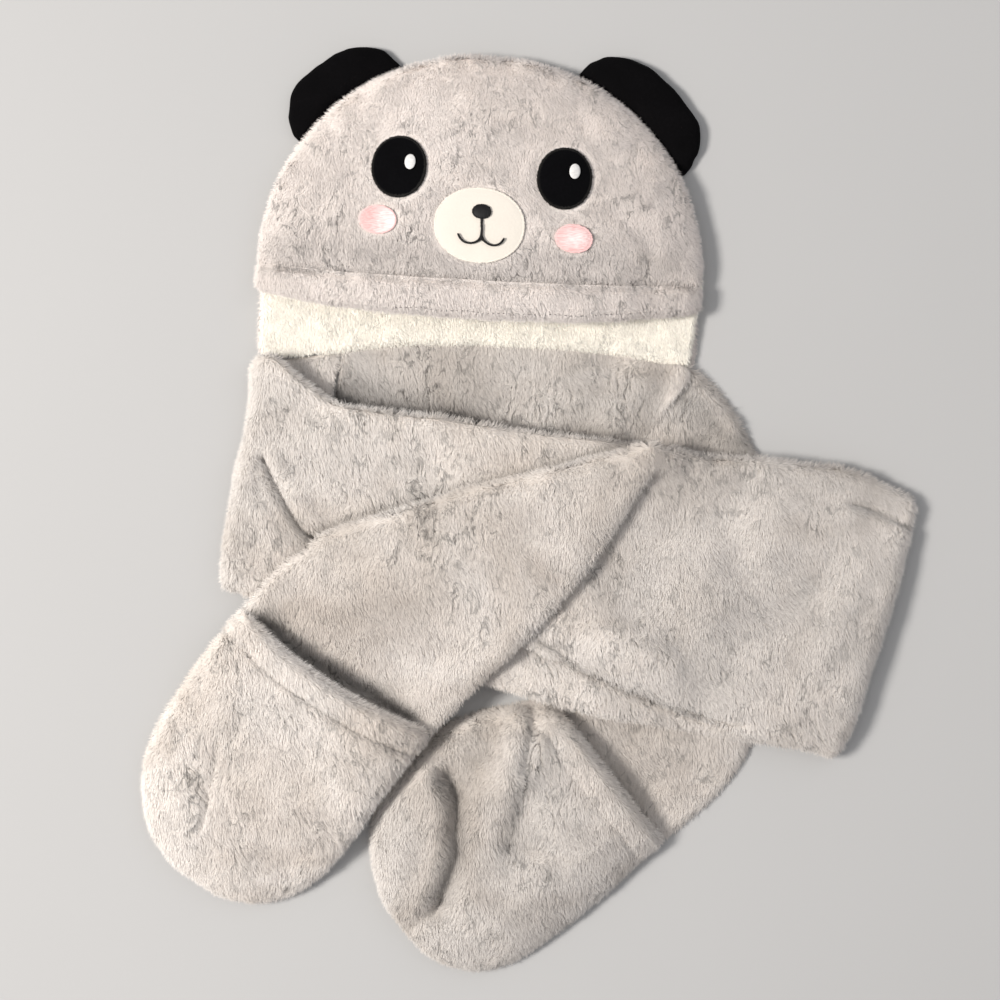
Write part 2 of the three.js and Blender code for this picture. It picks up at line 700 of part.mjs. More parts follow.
// Middles and sections of the left arm's folds
const tuckHeading = 2 * leftFold - underHeading;
const leftReach = neckWidth / 2 / Math.abs(Math.sin(THREE.MathUtils.degToRad(leftFold - underHeading)));
const leftMiddle = leftSeam.clone().addScaledVector(unit(leftFold), -leftReach);
const rightMiddle = leftMiddle.clone().addScaledVector(unit(underHeading), underRun);
const slantMiddle = rightMiddle.clone().addScaledVector(unit(overHeading), overRun);
const leftMouth = slantMiddle.clone().addScaledVector(unit(endHeading), endRun);
const leftSection = sectionAt(leftMiddle, leftFold, underHeading, neckWidth);
const rightSection = sectionAt(rightMiddle, rightFold, underHeading, scarfWidth);
const slantSection = sectionAt(slantMiddle, slantFold, overHeading, slantWidth);
const mouthSection = sectionAt(leftMouth, leftPocketHeading + 90, leftPocketHeading, pocketWidth);
const tuckEnd = leftFoldStart + tuckRun;
const tuckSection = {
  lower: leftSection.lower.clone().addScaledVector(unit(tuckHeading), -tuckRun),
  upper: hoodSpot(tuckEnd, neckLine(tuckEnd) - 2 * seamGap),
};

const rightMouthWidth = fanSections.at(-1).width * scarfWidth;
const rightPocket = {
  mouth: plan(rightMouthX, rightMouthY),
  heading: rightPocketHeading,
  mouthHalf: rightMouthWidth / 2,
  half: 0.52 * pocketWidth,
  length: pocketLength,
  bow: -0.09 * pocketWidth,
  hang: 0,
};
const leftPocket = {
  mouth: leftMouth,
  heading: leftPocketHeading,
  mouthHalf: pocketWidth / 2,
  half: pocketWidth / 2,
  length: pocketLength,
  bow: -0.035 * pocketWidth,
  hang: mouthDip,
};

// The right arm's sections turn like a fan from the neck to the mouth of its pocket.
const fanLine = (share) => {
  const width = fromTable(fanSections, "width", share) * scarfWidth;
  const line = unit(mix(fanStart, rightPocketHeading + 90, share));
  const innerStart = rightSeam.clone().addScaledVector(unit(fanStart), -fanSections[0].width * scarfWidth);
  const innerEnd = rightPocket.mouth
    .clone()
    .addScaledVector(unit(rightPocketHeading + 90), -rightMouthWidth / 2);
  const inner = along(innerStart, innerEnd, share);
  return { lower: inner, upper: inner.clone().addScaledVector(line, width) };
};

// The neck: from the left arm's seam to the right arm's first section, along the hood's seam.
function layNeck() {
  const start = { lower: tuckSection.lower, upper: tuckSection.upper };
  const end = fanLine(0);
  const places = across(bandColumns);
  const seamStart = tuckSection.upper.x + seamGap;
  const count = 10;
  const rows = steps(count).map((share) => {
    const clear = plan(mix(seamGap, -seamGap, share), 0);
    const lower = along(start.lower, end.lower, share).add(clear);
    const x = mix(seamStart, rightSeam.x - seamGap, share);
    const local = plan(x, rightSeam.y).rotateAround(plan(0, 0), -THREE.MathUtils.degToRad(hoodTurn)).x;
    const upper = hoodSpot(local, neckLine(local) - seamGap);
    return restingRow(
      places.map((place) => along(lower, upper, (place + 1) / 2)),
      places.map(() => 0),
      places.map((place) => {
        const ridge = ridgeHeight(neckRidges, share, place, count * facet, scarfWidth);
        return (scarfWall + ridge) * roundOff(place);
      }),
    );
  });
  return rows;
}

// The right arm lies on the table, so its rows are laid at table height before anything else.
function layRightArm() {
  const places = across(bandColumns);
  const fan = steps(10).map((share) => {
    const line = fanLine(share);
    return restingRow(
      places.map((place) => along(line.lower, line.upper, (place + 1) / 2)),
      places.map(() => 0),
      places.map((place) => scarfWall * roundOff(place)),
    );
  });
  return fan;
}

const neckRows = layNeck();
const fanRows = layRightArm();
const rightBackRows = pocketBack(rightPocket, 1);
const rightArmRows = [...fanRows, ...rightBackRows.slice(1)];
const tuckRows = layRun({
  start: tuckSection,
  end: leftSection,
  edges: straightEdges,
  ridges: [],
  upright: 1,
});
pile.lay(topSide(neckRows));
pile.lay(topSide(fanRows));
const rightPocketPieces = pocketPieces(rightPocket, rightBackRows, rightPocketRidges);

const underRows = layRun({
  start: leftSection,
  end: rightSection,
  edges: underEdges,
  ridges: underRidges,
  upright: -1,
});
const overRows = layRun({
  start: rightSection,
  end: slantSection,
  edges: overEdges,
  ridges: overRidges,
  upright: 1,
});
const endRows = layRun({
  start: slantSection,
  end: mouthSection,
  edges: endEdges,
  ridges: endRidges,
  upright: -1,
});
const leftBackRows = pocketBack(leftPocket, -1);
const leftPocketPieces = pocketPieces(leftPocket, leftBackRows, leftPocketRidges);
const leftArmRows = [
  ...tuckRows,
  ...foldRows(tuckRows.at(-1), underRows[0], unit(leftFold + 90)),
  ...underRows,
  ...foldRows(underRows.at(-1), overRows[0], unit(rightFold - 90)),
  ...overRows,
  ...foldRows(overRows.at(-1), endRows[0], unit(slantFold + 90)),
  ...endRows,
  ...leftBackRows.slice(1),
];

// Materials
const fabric = (color, roughness = 0.95) => new THREE.MeshStandardMaterial({ color, roughness, metalness: 0 });
const greyPlush = fabric(0xb3aaa4);
const creamLining = fabric(0xe6ddd0);
const blackVelour = fabric(0x0d0c0d, 0.8);
const whitePatch = fabric(0xe9e2da, 0.85);
const pinkThread = fabric(0xe6a6a2, 0.7);
const darkThread = fabric(0x26231f, 0.7);
const faceMaterials = {
  muzzle: whitePatch,
  eye: blackVelour,
  cheek: pinkThread,
  glint: whitePatch,
  nose: darkThread,
};

const part = new THREE.Group();
const add = (name, geometry, material) => {
  const mesh = new THREE.Mesh(geometry, material);
  mesh.name = name;
  part.add(mesh);
};

add("hood_back", hoodLayer(0, backWall, 0), greyPlush);
add("hood_lining", hoodLayer(backWall + seamGap, liningWall, 3), creamLining);
add("hood_front", hoodFront(), greyPlush);
add("hood_brim", hoodBrim(), greyPlush);
for (const place of earPlaces) add(place.name, ear(place), blackVelour);
for (const row of face) add(row.name, facePatch(row), faceMaterials[row.name.split("_")[0]]);
add("mouth", mouth(), darkThread);
add("neck_band", wallFromRows(neckRows), greyPlush);
add("right_arm", wallFromRows(rightArmRows), greyPlush);
add("right_pocket", rightPocketPieces.panel, greyPlush);
add("right_pocket_hem", rightPocketPieces.hem, greyPlush);
add("left_arm", wallFromRows(leftArmRows), greyPlush);
add("left_pocket", leftPocketPieces.panel, greyPlush);
add("left_pocket_hem", leftPocketPieces.hem, greyPlush);

// The origin is under the middle of the whole, on the table.
const extent = new THREE.Box3().setFromObject(part, true);
const middle = extent.getCenter(new THREE.Vector3());
part.position.set(-middle.x, -middle.y, -extent.min.z);

export default part;
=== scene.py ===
"""A plush animal hood with a long scarf and hand pockets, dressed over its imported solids."""

import math
from collections import namedtuple

import bmesh
import bpy
import numpy as np
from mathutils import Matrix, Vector
from mathutils.bvhtree import BVHTree


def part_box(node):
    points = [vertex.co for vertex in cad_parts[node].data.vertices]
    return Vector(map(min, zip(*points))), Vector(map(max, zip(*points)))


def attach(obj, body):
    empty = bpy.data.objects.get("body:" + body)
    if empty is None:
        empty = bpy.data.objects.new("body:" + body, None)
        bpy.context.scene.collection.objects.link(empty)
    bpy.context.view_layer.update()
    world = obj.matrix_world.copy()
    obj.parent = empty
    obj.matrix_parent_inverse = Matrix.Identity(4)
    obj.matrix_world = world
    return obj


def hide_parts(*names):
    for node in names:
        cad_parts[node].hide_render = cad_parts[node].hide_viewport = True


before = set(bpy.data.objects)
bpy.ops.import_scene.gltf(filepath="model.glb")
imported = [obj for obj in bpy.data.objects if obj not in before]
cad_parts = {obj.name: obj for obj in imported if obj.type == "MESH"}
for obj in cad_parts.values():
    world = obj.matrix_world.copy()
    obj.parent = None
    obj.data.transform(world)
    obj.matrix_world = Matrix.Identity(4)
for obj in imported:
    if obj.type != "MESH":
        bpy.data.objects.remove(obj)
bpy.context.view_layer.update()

bl_info = {
    "name": "Animal Hood Scarf",
    "version": (1, 0, 0),
    "blender": (4, 5, 0),
    "location": "3D View > Sidebar > Hood Scarf",
    "description": "Dresses a plush animal hood and its scarf with pile, face and stitching",
    "category": "Object",
}

MM = 0.001

# Columns of the tables. Places and paths are shares of a node's box in X and Y. A rise, width, push, reach or
# radius is in mm, a flat size in metres and a direction in degrees.
Cloth = namedtuple("Cloth", "plush flat held smooth tone crinkle")
Plush = namedtuple("Plush", "slot warm clump_size tuft pull lean drifts")
Fold = namedtuple("Fold", "rise width path fill", defaults=(None,))
# A brush's dark share is painted shade in the pile's colour, or painted light where it is below 0
Brush = namedtuple("Brush", "width dark smooth path long", defaults=(0,))
Corner = namedtuple("Corner", "place inward radius")
Bulge = namedtuple("Bulge", "place push reach")
Patch = namedtuple("Patch", "finish slot edge reach")

# Cloth pieces by the solid that each one dresses: the size of the cut, how it is held, its levels of
# smoothing, how light it is and how much its pile crinkles. How light a piece is holds painted light and
# shade in part: the lining is painted lighter against the brim's shadow, the neck band and the right
# pocket darker for the shade that they lie in
CLOTH = {
    "hood_back": Cloth("hood", (0.29, 0.21), "laid", 2, 1, 0.6),
    "hood_lining": Cloth("lining", (0.285, 0.205), "laid", 3, 1.09, 0.7),
    "hood_front": Cloth("hood", (0.292, 0.16), "draped", 3, 1, 1.0),
    "hood_brim": Cloth("hood", (0.29, 0.034), "folded", 3, 1, 0.9),
    "neck_band": Cloth("scarf", (0.24, 0.15), "laid", 3, 0.9, 1.0),
    "left_arm": Cloth("scarf", (0.176, 1.05), "folded", 3, 1, 1.0),
    "right_arm": Cloth("scarf", (0.15, 0.52), "laid", 3, 0.97, 0.8),
    "left_pocket": Cloth("scarf", (0.145, 0.152), "draped", 3, 1.06, 0.95),
    "left_pocket_hem": Cloth("scarf", (0.145, 0.03), "folded", 3, 1.06, 0.7),
    "right_pocket": Cloth("scarf", (0.15, 0.152), "draped", 3, 0.88, 0.8),
    "right_pocket_hem": Cloth("scarf", (0.12, 0.03), "folded", 3, 0.95, 0.7),
}

# Each plush: its warm tone, the size of its clumps, the size, pull and lean of its tufts and how much its
# colour drifts
PLUSH = {
    "hood": Plush("grey_plush", (0.72, 0.64, 0.585), 9, 6.5, 1.4, 0.75, 1.6),
    "lining": Plush("cream_lining", (0.96, 0.89, 0.77), 7, 3.4, 2.4, 0.7, 0.8),
    "scarf": Plush("grey_plush", (0.66, 0.57, 0.49), 12, 8.0, 1.3, 0.95, 3.0),
}
CLUMP_HEIGHT = 0.8

# Folds pressed into the upper side of a piece. A fill raises a gap to a level that runs from the first share
# of the box's height to the second, where the piece is above the third.
FOLDS = {
    "left_arm": [
        Fold(-8, 3, [(0.155, 0.804), (0.168, 0.768), (0.189, 0.719), (0.204, 0.676), (0.227, 0.654)]),
        Fold(2.2, 5, [(0.172, 0.808), (0.186, 0.768), (0.207, 0.724), (0.226, 0.69)]),
        Fold(3, 7, [(0.13, 0.782), (0.143, 0.728), (0.163, 0.674), (0.187, 0.634)]),
        Fold(-2, 10, [(0.353, 0.782), (0.366, 0.728), (0.385, 0.692)]),
        Fold(1.5, 9, [(0.404, 0.809), (0.424, 0.764)]),
        Fold(-2, 14, [(0.204, 0.548), (0.256, 0.62), (0.333, 0.656)]),
        Fold(-1.8, 16, [(0.424, 0.62), (0.488, 0.656), (0.54, 0.728)]),
        Fold(-4, 13, [(0.592, 0.62), (0.624, 0.548), (0.695, 0.475), (0.721, 0.385)]),
        Fold(2.5, 8, [(0.54, 0.511), (0.643, 0.457), (0.747, 0.385), (0.837, 0.34)]),
        Fold(2.2, 15, [(0.708, 0.692), (0.721, 0.566), (0.727, 0.457)]),
        Fold(-1.6, 5, [(0.76, 0.765), (0.876, 0.735), (0.94, 0.714)]),
        Fold(-3, 3, [(0.92, 0.721), (0.95, 0.709), (0.989, 0.685)]),
        Fold(-4, 3, [(0.512, 0.481), (0.566, 0.428), (0.643, 0.381), (0.721, 0.342), (0.779, 0.322)]),
        Fold(0, 9, [(0.656, 0.806), (0.708, 0.802)], fill=(0.9, 0.58, 0.29)),
        Fold(-2.8, 14, [(0.772, 0.62), (0.798, 0.548), (0.85, 0.475)]),
        Fold(2.4, 12, [(0.93, 0.62), (0.905, 0.52), (0.87, 0.42)]),
    ],
    "left_pocket": [
        Fold(-2.4, 3.2, [(0.295, 0.594), (0.266, 0.484), (0.244, 0.375)]),
        Fold(-2.6, 3, [(0.225, 0.448), (0.24, 0.375), (0.214, 0.284)]),
        Fold(-2, 3, [(0.27, 0.466), (0.306, 0.375), (0.332, 0.321)]),
        Fold(-1.6, 4, [(0.38, 0.812), (0.384, 0.684), (0.343, 0.594)]),
        Fold(-1.5, 4, [(0.443, 0.866), (0.502, 0.775)]),
        Fold(-2, 3, [(0.251, 0.266), (0.295, 0.211)]),
        Fold(2, 8, [(0.16, 0.521), (0.15, 0.4), (0.17, 0.3)]),
        Fold(-7, 20, [(0.417, 1.001), (0.564, 0.885), (0.738, 0.79), (0.863, 0.71), (1.058, 0.601)]),
    ],
    "neck_band": [
        Fold(4, 6, [(0.98, 0.9), (0.955, 0.749), (0.924, 0.6)]),
    ],
    "left_pocket_hem": [
        Fold(-7, 20, [(0.124, 0.87), (0.327, 0.64), (0.565, 0.453), (0.737, 0.294), (1.005, 0.079)]),
    ],
    "right_pocket": [
        Fold(-13, 10, [(0.263, 0.748), (0.304, 0.672), (0.318, 0.596), (0.307, 0.463), (0.233, 0.253)]),
        Fold(-3.5, 11, [(0.397, 0.862), (0.304, 0.729)]),
        Fold(6, 8, [(0.205, 0.73), (0.258, 0.61), (0.245, 0.451), (0.18, 0.27)]),
        Fold(4.5, 10, [(0.538, 1.007), (0.516, 0.805), (0.478, 0.47)]),
        Fold(-4, 4.5, [(0.601, 0.927), (0.583, 0.862), (0.571, 0.798)]),
        Fold(-4, 8, [(0.55, 0.653), (0.493, 0.501)]),
        Fold(-4, 7, [(0.501, 0.478), (0.583, 0.444), (0.676, 0.402)]),
        Fold(-3, 5, [(0.248, 0.253), (0.155, 0.177), (0.118, 0.139)]),
        Fold(2.5, 12, [(0.68, 0.55), (0.84, 0.463)]),
    ],
    "hood_front": [
        Fold(-1.6, 4, [(0.184, 0.272), (0.196, 0.12), (0.207, 0.03)]),
        Fold(-1.8, 4, [(0.264, 0.142), (0.309, 0.077), (0.331, 0.012)]),
        Fold(-1.4, 5, [(0.15, 0.466), (0.14, 0.25), (0.12, 0.077)]),
        Fold(-1.5, 5, [(0.8, 0.337), (0.885, 0.164), (0.863, 0.02)]),
    ],
}

# Where the pile is painted darker, mostly as painted shade in creases, folds, seams and hollows and under
# raised edges, or painted lighter (a dark below 0), in part as painted light on lit sides and ridges, and
# where it is brushed smoother or longer
SHADED_AND_BRUSHED = {
    "left_arm": [
        Brush(24, -0.07, 0, [(0.36, 0.82), (0.5, 0.79)]),
        Brush(16, 0.07, 0, [(0.18, 0.9), (0.19, 0.8)]),
        Brush(16, 0.12, -0.2, [(0.72, 0.8), (0.93, 0.74)]),
        Brush(6, 0.07, 0, [
            (0.222, 0.643), (0.31, 0.688), (0.407, 0.728), (0.541, 0.776), (0.629, 0.808),
        ], long=-0.3),
        Brush(13, 0.14, 0.2, [(0.13, 0.98), (0.12, 0.7), (0.08, 0.55)]),
        Brush(62, 0.12, 0.45, [(0.7, 0.62), (0.9, 0.5)]),
        Brush(2.6, 0.3, -0.4, [(0.512, 0.481), (0.566, 0.428), (0.643, 0.381), (0.721, 0.342)]),
        Brush(2.2, 0.25, -0.4, [(0.92, 0.721), (0.95, 0.709), (0.989, 0.685)]),
        Brush(30, 0, -0.2, [(0.32, 0.8), (0.42, 0.7)], long=0.15),
        Brush(6, 0.7, -0.4, [
            (0.16, 0.522), (0.187, 0.479), (0.225, 0.441), (0.267, 0.405), (0.31, 0.372), (0.345, 0.347),
        ], long=0.6),
        Brush(17, 0.12, -0.3, [(0.6, 0.6), (0.64, 0.53), (0.72, 0.44)]),
        Brush(12, 0.09, -0.3, [(0.353, 0.8), (0.37, 0.728), (0.39, 0.69)]),
        Brush(12, 0.04, 0.5, [(0.25, 0.79), (0.3, 0.77)]),
        Brush(28, 0, 0.55, [(0.2, 0.56), (0.3, 0.5), (0.4, 0.45)]),
        Brush(3.5, 0.26, -0.4, [
            (0.222, 0.672), (0.31, 0.714), (0.407, 0.752), (0.541, 0.8), (0.629, 0.832),
        ], long=-0.45),
        Brush(5, 0.02, 0, [
            (0.204, 0.909), (0.256, 0.876), (0.333, 0.858), (0.462, 0.842), (0.592, 0.837),
        ], long=-0.35),
        Brush(3, 0.4, 0, [(0.163, 0.782), (0.173, 0.746), (0.191, 0.703), (0.212, 0.66)]),
    ],
    "right_pocket": [
        Brush(10, 0.13, -0.6, [(0.27, 0.702), (0.335, 0.615), (0.32, 0.451), (0.25, 0.246)]),
        Brush(6, 0.2, -0.4, [(0.263, 0.748), (0.304, 0.672), (0.318, 0.596), (0.307, 0.463), (0.25, 0.28)]),
        Brush(7, 0.1, -0.6, [(0.623, 0.9), (0.597, 0.786), (0.538, 0.634), (0.493, 0.501)]),
        Brush(7, 0.08, -0.5, [(0.493, 0.5), (0.583, 0.444), (0.676, 0.402)]),
        Brush(8, 0.08, -0.4, [(0.4, 0.85), (0.32, 0.7)]),
    ],
    "left_pocket": [
        Brush(20, 0.03, -0.5, [(0.26, 0.52), (0.26, 0.35)]),
        Brush(18, 0.07, -0.2, [(0.35, 0.7), (0.5, 0.8)]),
        Brush(2.2, 0.16, -0.5, [(0.428, 0.895), (0.531, 0.812), (0.723, 0.688), (0.944, 0.55)]),
    ],
    "left_pocket_hem": [
        Brush(2.2, 0.16, -0.5, [(0.14, 0.661), (0.281, 0.496), (0.545, 0.251), (0.848, -0.022)]),
    ],
    "right_arm": [
        Brush(16, 0.36, -0.4, [(0.754, 0.953), (0.807, 0.92), (0.873, 0.879)]),
        Brush(4, -0.2, -0.2, [(0.778, 0.991), (0.816, 0.945), (0.861, 0.903)], long=1.0),
    ],
    "neck_band": [
        Brush(12, 0.32, 0, [(0.0, 0.83), (0.05, 0.86)]),
        Brush(3.5, 0.36, 0, [(0.075, 0.92), (0.06, 0.77)]),
        Brush(16, 0.6, 0, [(0.07, 0.8), (0.209, 0.73), (0.387, 0.68)]),
        Brush(10, 0.35, -0.2, [(0.387, 0.67), (0.6, 0.63), (0.8, 0.61)]),
        Brush(20, 0.1, -0.4, [(0.741, 0.768), (0.868, 0.749)]),
        Brush(16, 0.05, -0.3, [(0.38, 0.85), (0.5, 0.75)]),
        Brush(6, -0.22, 0.8, [(0.975, 0.9), (0.955, 0.749), (0.924, 0.6)], long=1.0),
    ],
    "hood_brim": [
        Brush(2.5, 0.16, -0.3, [(0.011, 0.919), (0.322, 0.775), (0.684, 0.65), (0.981, 0.596)]),
    ],
    "hood_front": [
        Brush(14, -0.04, 0, [(0.04, 0.3), (0.1, 0.7)]),
        Brush(26, 0.02, -0.4, [(0.12, 0.3), (0.3, 0.12)]),
        Brush(18, -0.02, 0.4, [(0.12, 0.75), (0.5, 0.93), (0.85, 0.7)]),
        Brush(14, 0.17, -0.1, [(0.071, 0.164), (0.388, 0.112), (0.682, 0.086), (0.908, 0.112)]),
        Brush(3, 0.2, -0.3, [(0.008, 0.086), (0.32, 0.051), (0.682, 0.021), (0.98, 0.008)], long=0.2),
    ],
}

# Pieces with a space under them, whose folds go through the whole wall
HOLLOW = ("hood_front", "left_pocket", "right_pocket")

# Pieces that are sewn to each other: how far from the edge they are drawn together, and the depth of the seam
SEAMS = {
    "hood_front": [("hood_brim", 4, 2.6)],
    "hood_brim": [("hood_front", 4, 2.6)],
    "left_pocket": [("left_pocket_hem", 2.2, 3.0)],
    "left_pocket_hem": [("left_pocket", 2.2, 3.0)],
    "right_pocket": [("right_pocket_hem", 5.5, -2.2)],
    "right_pocket_hem": [("right_pocket", 5.5, -2.2)],
    "hood_lining": [("neck_band", 4, 0)],
    "neck_band": [("hood_lining", 4, 0), ("right_arm", 5, 0)],
    "right_arm": [("neck_band", 5, 0)],
}
SEAM_WIDTH = 4.5

# Corners of the scarf that are rounded off, each with the way inwards
ROUNDED = {
    "left_arm": [
        Corner((0.144, 0.988), -45, 13),
        Corner((0.998, 0.734), 215, 7),
        Corner((0.902, 0.264), 125, 12),
    ],
}

# Where a piece bulges, with the push in X, Y and Z
BULGES = {
    "ear_left": Bulge((0.28, 0.6), (-1.6, 1.8, 0), 32),
    "ear_right": Bulge((0.1, 0.86), (-2.5, 4.5, 0), 24),
    "hood_lining": Bulge((1.0, 0.3), (4.4, 0, 3), 24),
}

# Face appliques: the finish, the slot, the finish of the satin edge and its width
FACE = {
    "muzzle": Patch("muzzle_cloth", "white_felt", "muzzle_edge", 1.8),
    "eye_left": Patch("eye_velvet", "black_velvet", "eye_edge", 2.4),
    "eye_right": Patch("eye_velvet", "black_velvet", "eye_edge", 2.4),
    "cheek_left": Patch("blush", "pink_thread", "blush_edge", 1.4),
    "cheek_right": Patch("blush", "pink_thread", "blush_edge", 1.7),
    "glint_left": Patch("glint_satin", "white_thread", None, 0),
    "glint_right": Patch("glint_satin", "white_thread", None, 0),
    "nose": Patch("dark_satin", "dark_thread", "nose_edge", 1.2),
}


# Heights over the surface below: the lowest of a strand or a pad, the highest that grows no pile where it
# faces down, and the highest that clumps don't lower
SKIN = 0.0002
BARE_SIDE = 0.0012
FLOOR_SIDE = 0.0015

# Rays that test how open a place is: where they start, how far they run and the room that a roof has to leave
RAY_START = 0.004
RAY_LENGTH = 0.6
ROOF_ROOM = 0.008

# The way that the pile is stroked
NAP = (0.15, -0.9, 0.0)

# Filling of the ears: the size of their voxels, the frames of the simulation and the rounds of smoothing
VOXEL = 0.004
AIR_FRAMES = 20
RELAX_ROUNDS = 6

# The camera: the width of its sensor in mm, where it hangs in plan and the height that its width is taken at
SENSOR = 36
CAMERA_PLACE = (-0.0192, 0.0045)
MIDDLE_HEIGHT = 0.022


# Settings


def length_setting(name, description, default):
    return bpy.props.FloatProperty(name=name, description=description, default=default, unit="LENGTH")


def colour_setting(name, description, default):
    return bpy.props.FloatVectorProperty(
        name=name, description=description, subtype="COLOR", default=default
    )


class PileSettings(bpy.types.PropertyGroup):
    """Sizes of the pile."""

    scarf_length: length_setting("Scarf Pile", "Length of the scarf's strands", 0.0052)
    hood_length: length_setting("Hood Pile", "Length of the hood's strands", 0.0036)
    lining_length: length_setting("Lining Pile", "Length of the lining's curls", 0.0030)
    strand_width: length_setting("Strand Width", "Width of one strand at its root", 0.0006)
    density: bpy.props.FloatProperty(
        name="Density", description="Strands for each square metre", default=2.75e6, min=0
    )


class ColourSettings(bpy.types.PropertyGroup):
    """Colours of the cloth and the thread."""

    scarf: colour_setting("Scarf", "Plush of the scarf", (0.86, 0.80, 0.745))
    hood: colour_setting("Hood", "Plush of the hood", (0.90, 0.825, 0.775))
    lining: colour_setting("Lining", "Curly lining", (1.0, 0.955, 0.865))
    ears: colour_setting("Ears", "Short plush of the ears", (0.0016, 0.0014, 0.0016))
    blush: colour_setting("Blush", "Thread of the cheeks", (0.87, 0.42, 0.40))
    muzzle: colour_setting("Muzzle", "Cloth of the muzzle", (0.78, 0.715, 0.63))
    thread: colour_setting("Thread", "Dark thread of the face", (0.007, 0.006, 0.006))


class StageSettings(bpy.types.PropertyGroup):
    """Floor, light and camera."""

    camera_height: length_setting("Camera Height", "Height of the camera over the floor", 1.5)
    view_width: length_setting("View Width", "Width that the camera takes in", 0.66)
    floor_colour: colour_setting("Floor", "Colour of the floor", (0.47, 0.46, 0.45))


# Shader nodes


class Value:
    """A node's output that adds Math nodes when it is used in sums."""

    def __init__(self, graph, socket):
        self.graph = graph
        self.socket = socket

    def also(self, name):
        """Another output of the same node."""
        return Value(self.graph, self.socket.node.outputs[name])

    def math(self, operation, first, second=None):
        return self.graph.add("ShaderNodeMath", {"operation": operation}, {0: first, 1: second})

    def __add__(self, other):
        return self.math("ADD", self, other)

    def __radd__(self, other):
        return self.math("ADD", other, self)

    def __sub__(self, other):
        return self.math("SUBTRACT", self, other)

    def __rsub__(self, other):
        return self.math("SUBTRACT", other, self)

    def __mul__(self, other):
        return self.math("MULTIPLY", self, other)

    def __rtruediv__(self, other):
        return self.math("DIVIDE", other, self)


class Graph:
    """A tree of nodes that is written as calls."""

    def __init__(self, tree):
        self.tree = tree

    def add(self, kind, settings=None, inputs=None, output=0):
        """Adds a node with its settings and the values or links of its sockets, and gives one output."""
        node = self.tree.nodes.new(kind)
        for name, value in (settings or {}).items():
            if name == "stops":
                ramp = node.color_ramp
                while len(ramp.elements) < len(value):
                    ramp.elements.new(0.5)
                for element, (position, colour) in zip(ramp.elements, value):
                    element.position = position
                    element.color = (*colour, 1)
            else:
                setattr(node, name, value)
        for key, value in (inputs or {}).items():
            if value is None:
                continue
            socket = node.inputs[key]
            if isinstance(value, Value):
                self.tree.links.new(value.socket, socket)
            elif socket.type == "RGBA" and len(value) == 3:
                socket.default_value = (*value, 1)
            else:
                socket.default_value = value
        return Value(self, node.outputs[output]) if len(node.outputs) else None

    def mix(self, factor, first, second, blend="MIX"):
        """A mix of two colours."""
        settings = {"data_type": "RGBA", "blend_type": blend}
        return self.add("ShaderNodeMix", settings, {0: factor, 6: first, 7: second}, 2)

    def toned(self, colour, tone):
        """A colour made lighter or darker."""
        grey = self.add("ShaderNodeCombineColor", None, {0: tone, 1: tone, 2: tone})
        return self.mix(1.0, colour, grey, "MULTIPLY")

    def noise(self, scale, detail=2.0, place=None, distortion=0.0, output=0):
        """Cloudy noise from 0 to 1, by default on Object coordinates."""
        inputs = {"Vector": place or self.place(), "Scale": scale, "Detail": detail, "Distortion": distortion}
        return self.add("ShaderNodeTexNoise", None, inputs, output)

    def place(self):
        return self.add("ShaderNodeTexCoord", None, None, 3)

    def painted(self, name, output=2):
        """An attribute of the mesh in a material."""
        return self.add("ShaderNodeAttribute", {"attribute_name": name}, None, output)

    def stored(self, name):
        """An attribute of the mesh in a tree of geometry."""
        return self.add("GeometryNodeInputNamedAttribute", {"data_type": "FLOAT"}, {0: name})

    def clamp(self, value, low=None, high=None):
        return self.add("ShaderNodeClamp", None, {0: value, 1: low, 2: high})

    def absolute(self, value):
        return self.add("ShaderNodeMath", {"operation": "ABSOLUTE"}, {0: value})

    def chance(self, low, high, seed):
        return self.add("FunctionNodeRandomValue", {"data_type": "FLOAT"}, {2: low, 3: high, "Seed": seed}, 1)

    def store(self, points, name, value, kind="FLOAT"):
        """Points that carry one more attribute."""
        settings = {"data_type": kind, "domain": "POINT"}
        return self.add("GeometryNodeStoreNamedAttribute", settings, {0: points, 2: name, 3: value})

    def vector(self, operation, first, second=None, scale=None):
        """A Vector Math node."""
        output = int(operation == "DOT_PRODUCT")
        inputs = {0: first, 1: second, "Scale": scale}
        return self.add("ShaderNodeVectorMath", {"operation": operation}, inputs, output)

    def scaled(self, vector, scale):
        return self.vector("SCALE", vector, scale=scale)

    def tufts(self, place, size):
        """A place bent for its tufts, and how far they are open there, from 0 to 1."""
        near = self.vector("MULTIPLY", self.scaled(place, 1 / size), (1.25, 0.75, 1.0))
        bend = self.vector("SUBTRACT", self.noise(0.55, 2.0, near, output=1), (0.5, 0.5, 0.5))
        bent = self.vector("ADD", near, self.scaled(bend, 2.4))
        return bent, self.clamp((self.noise(0.21, 2.0, near) - 0.34) * 4.0, 0.2, 1.0)

    def dells(self, bent):
        """Soft hills and dells over a bent place, whose contour lines part the pile."""
        return self.noise(0.95, 1.5, bent) - 0.5

    def parting(self, bent, open_share):
        """How near a bent place is to a parting between tufts, from 0 to 1."""
        line = self.clamp(1 - self.absolute(self.dells(bent)) * 17.0)
        broken = self.clamp((self.noise(0.8, 0.0, bent) - 0.42) * 8.0)
        return line * broken * open_share

    def gathering(self, bent, open_share):
        """The way that leads off the parting near a bent place."""
        here = self.dells(bent)
        steps = ((0.1, 0, 0), (0, 0.1, 0), (0, 0, 0.1))
        rises = {axis: self.dells(self.vector("ADD", bent, step)) - here for axis, step in enumerate(steps)}
        slope = self.add("ShaderNodeCombineXYZ", None, rises)
        side = self.clamp(here * 20.0, -1.0, 1.0)
        near = self.clamp(1 - self.absolute(here) * 6.0)
        return self.scaled(slope, side * near * open_share * 14.0)

    def bump(self, height, strength, distance):
        inputs = {"Height": height, "Strength": strength, "Distance": distance}
        return self.add("ShaderNodeBump", None, inputs)


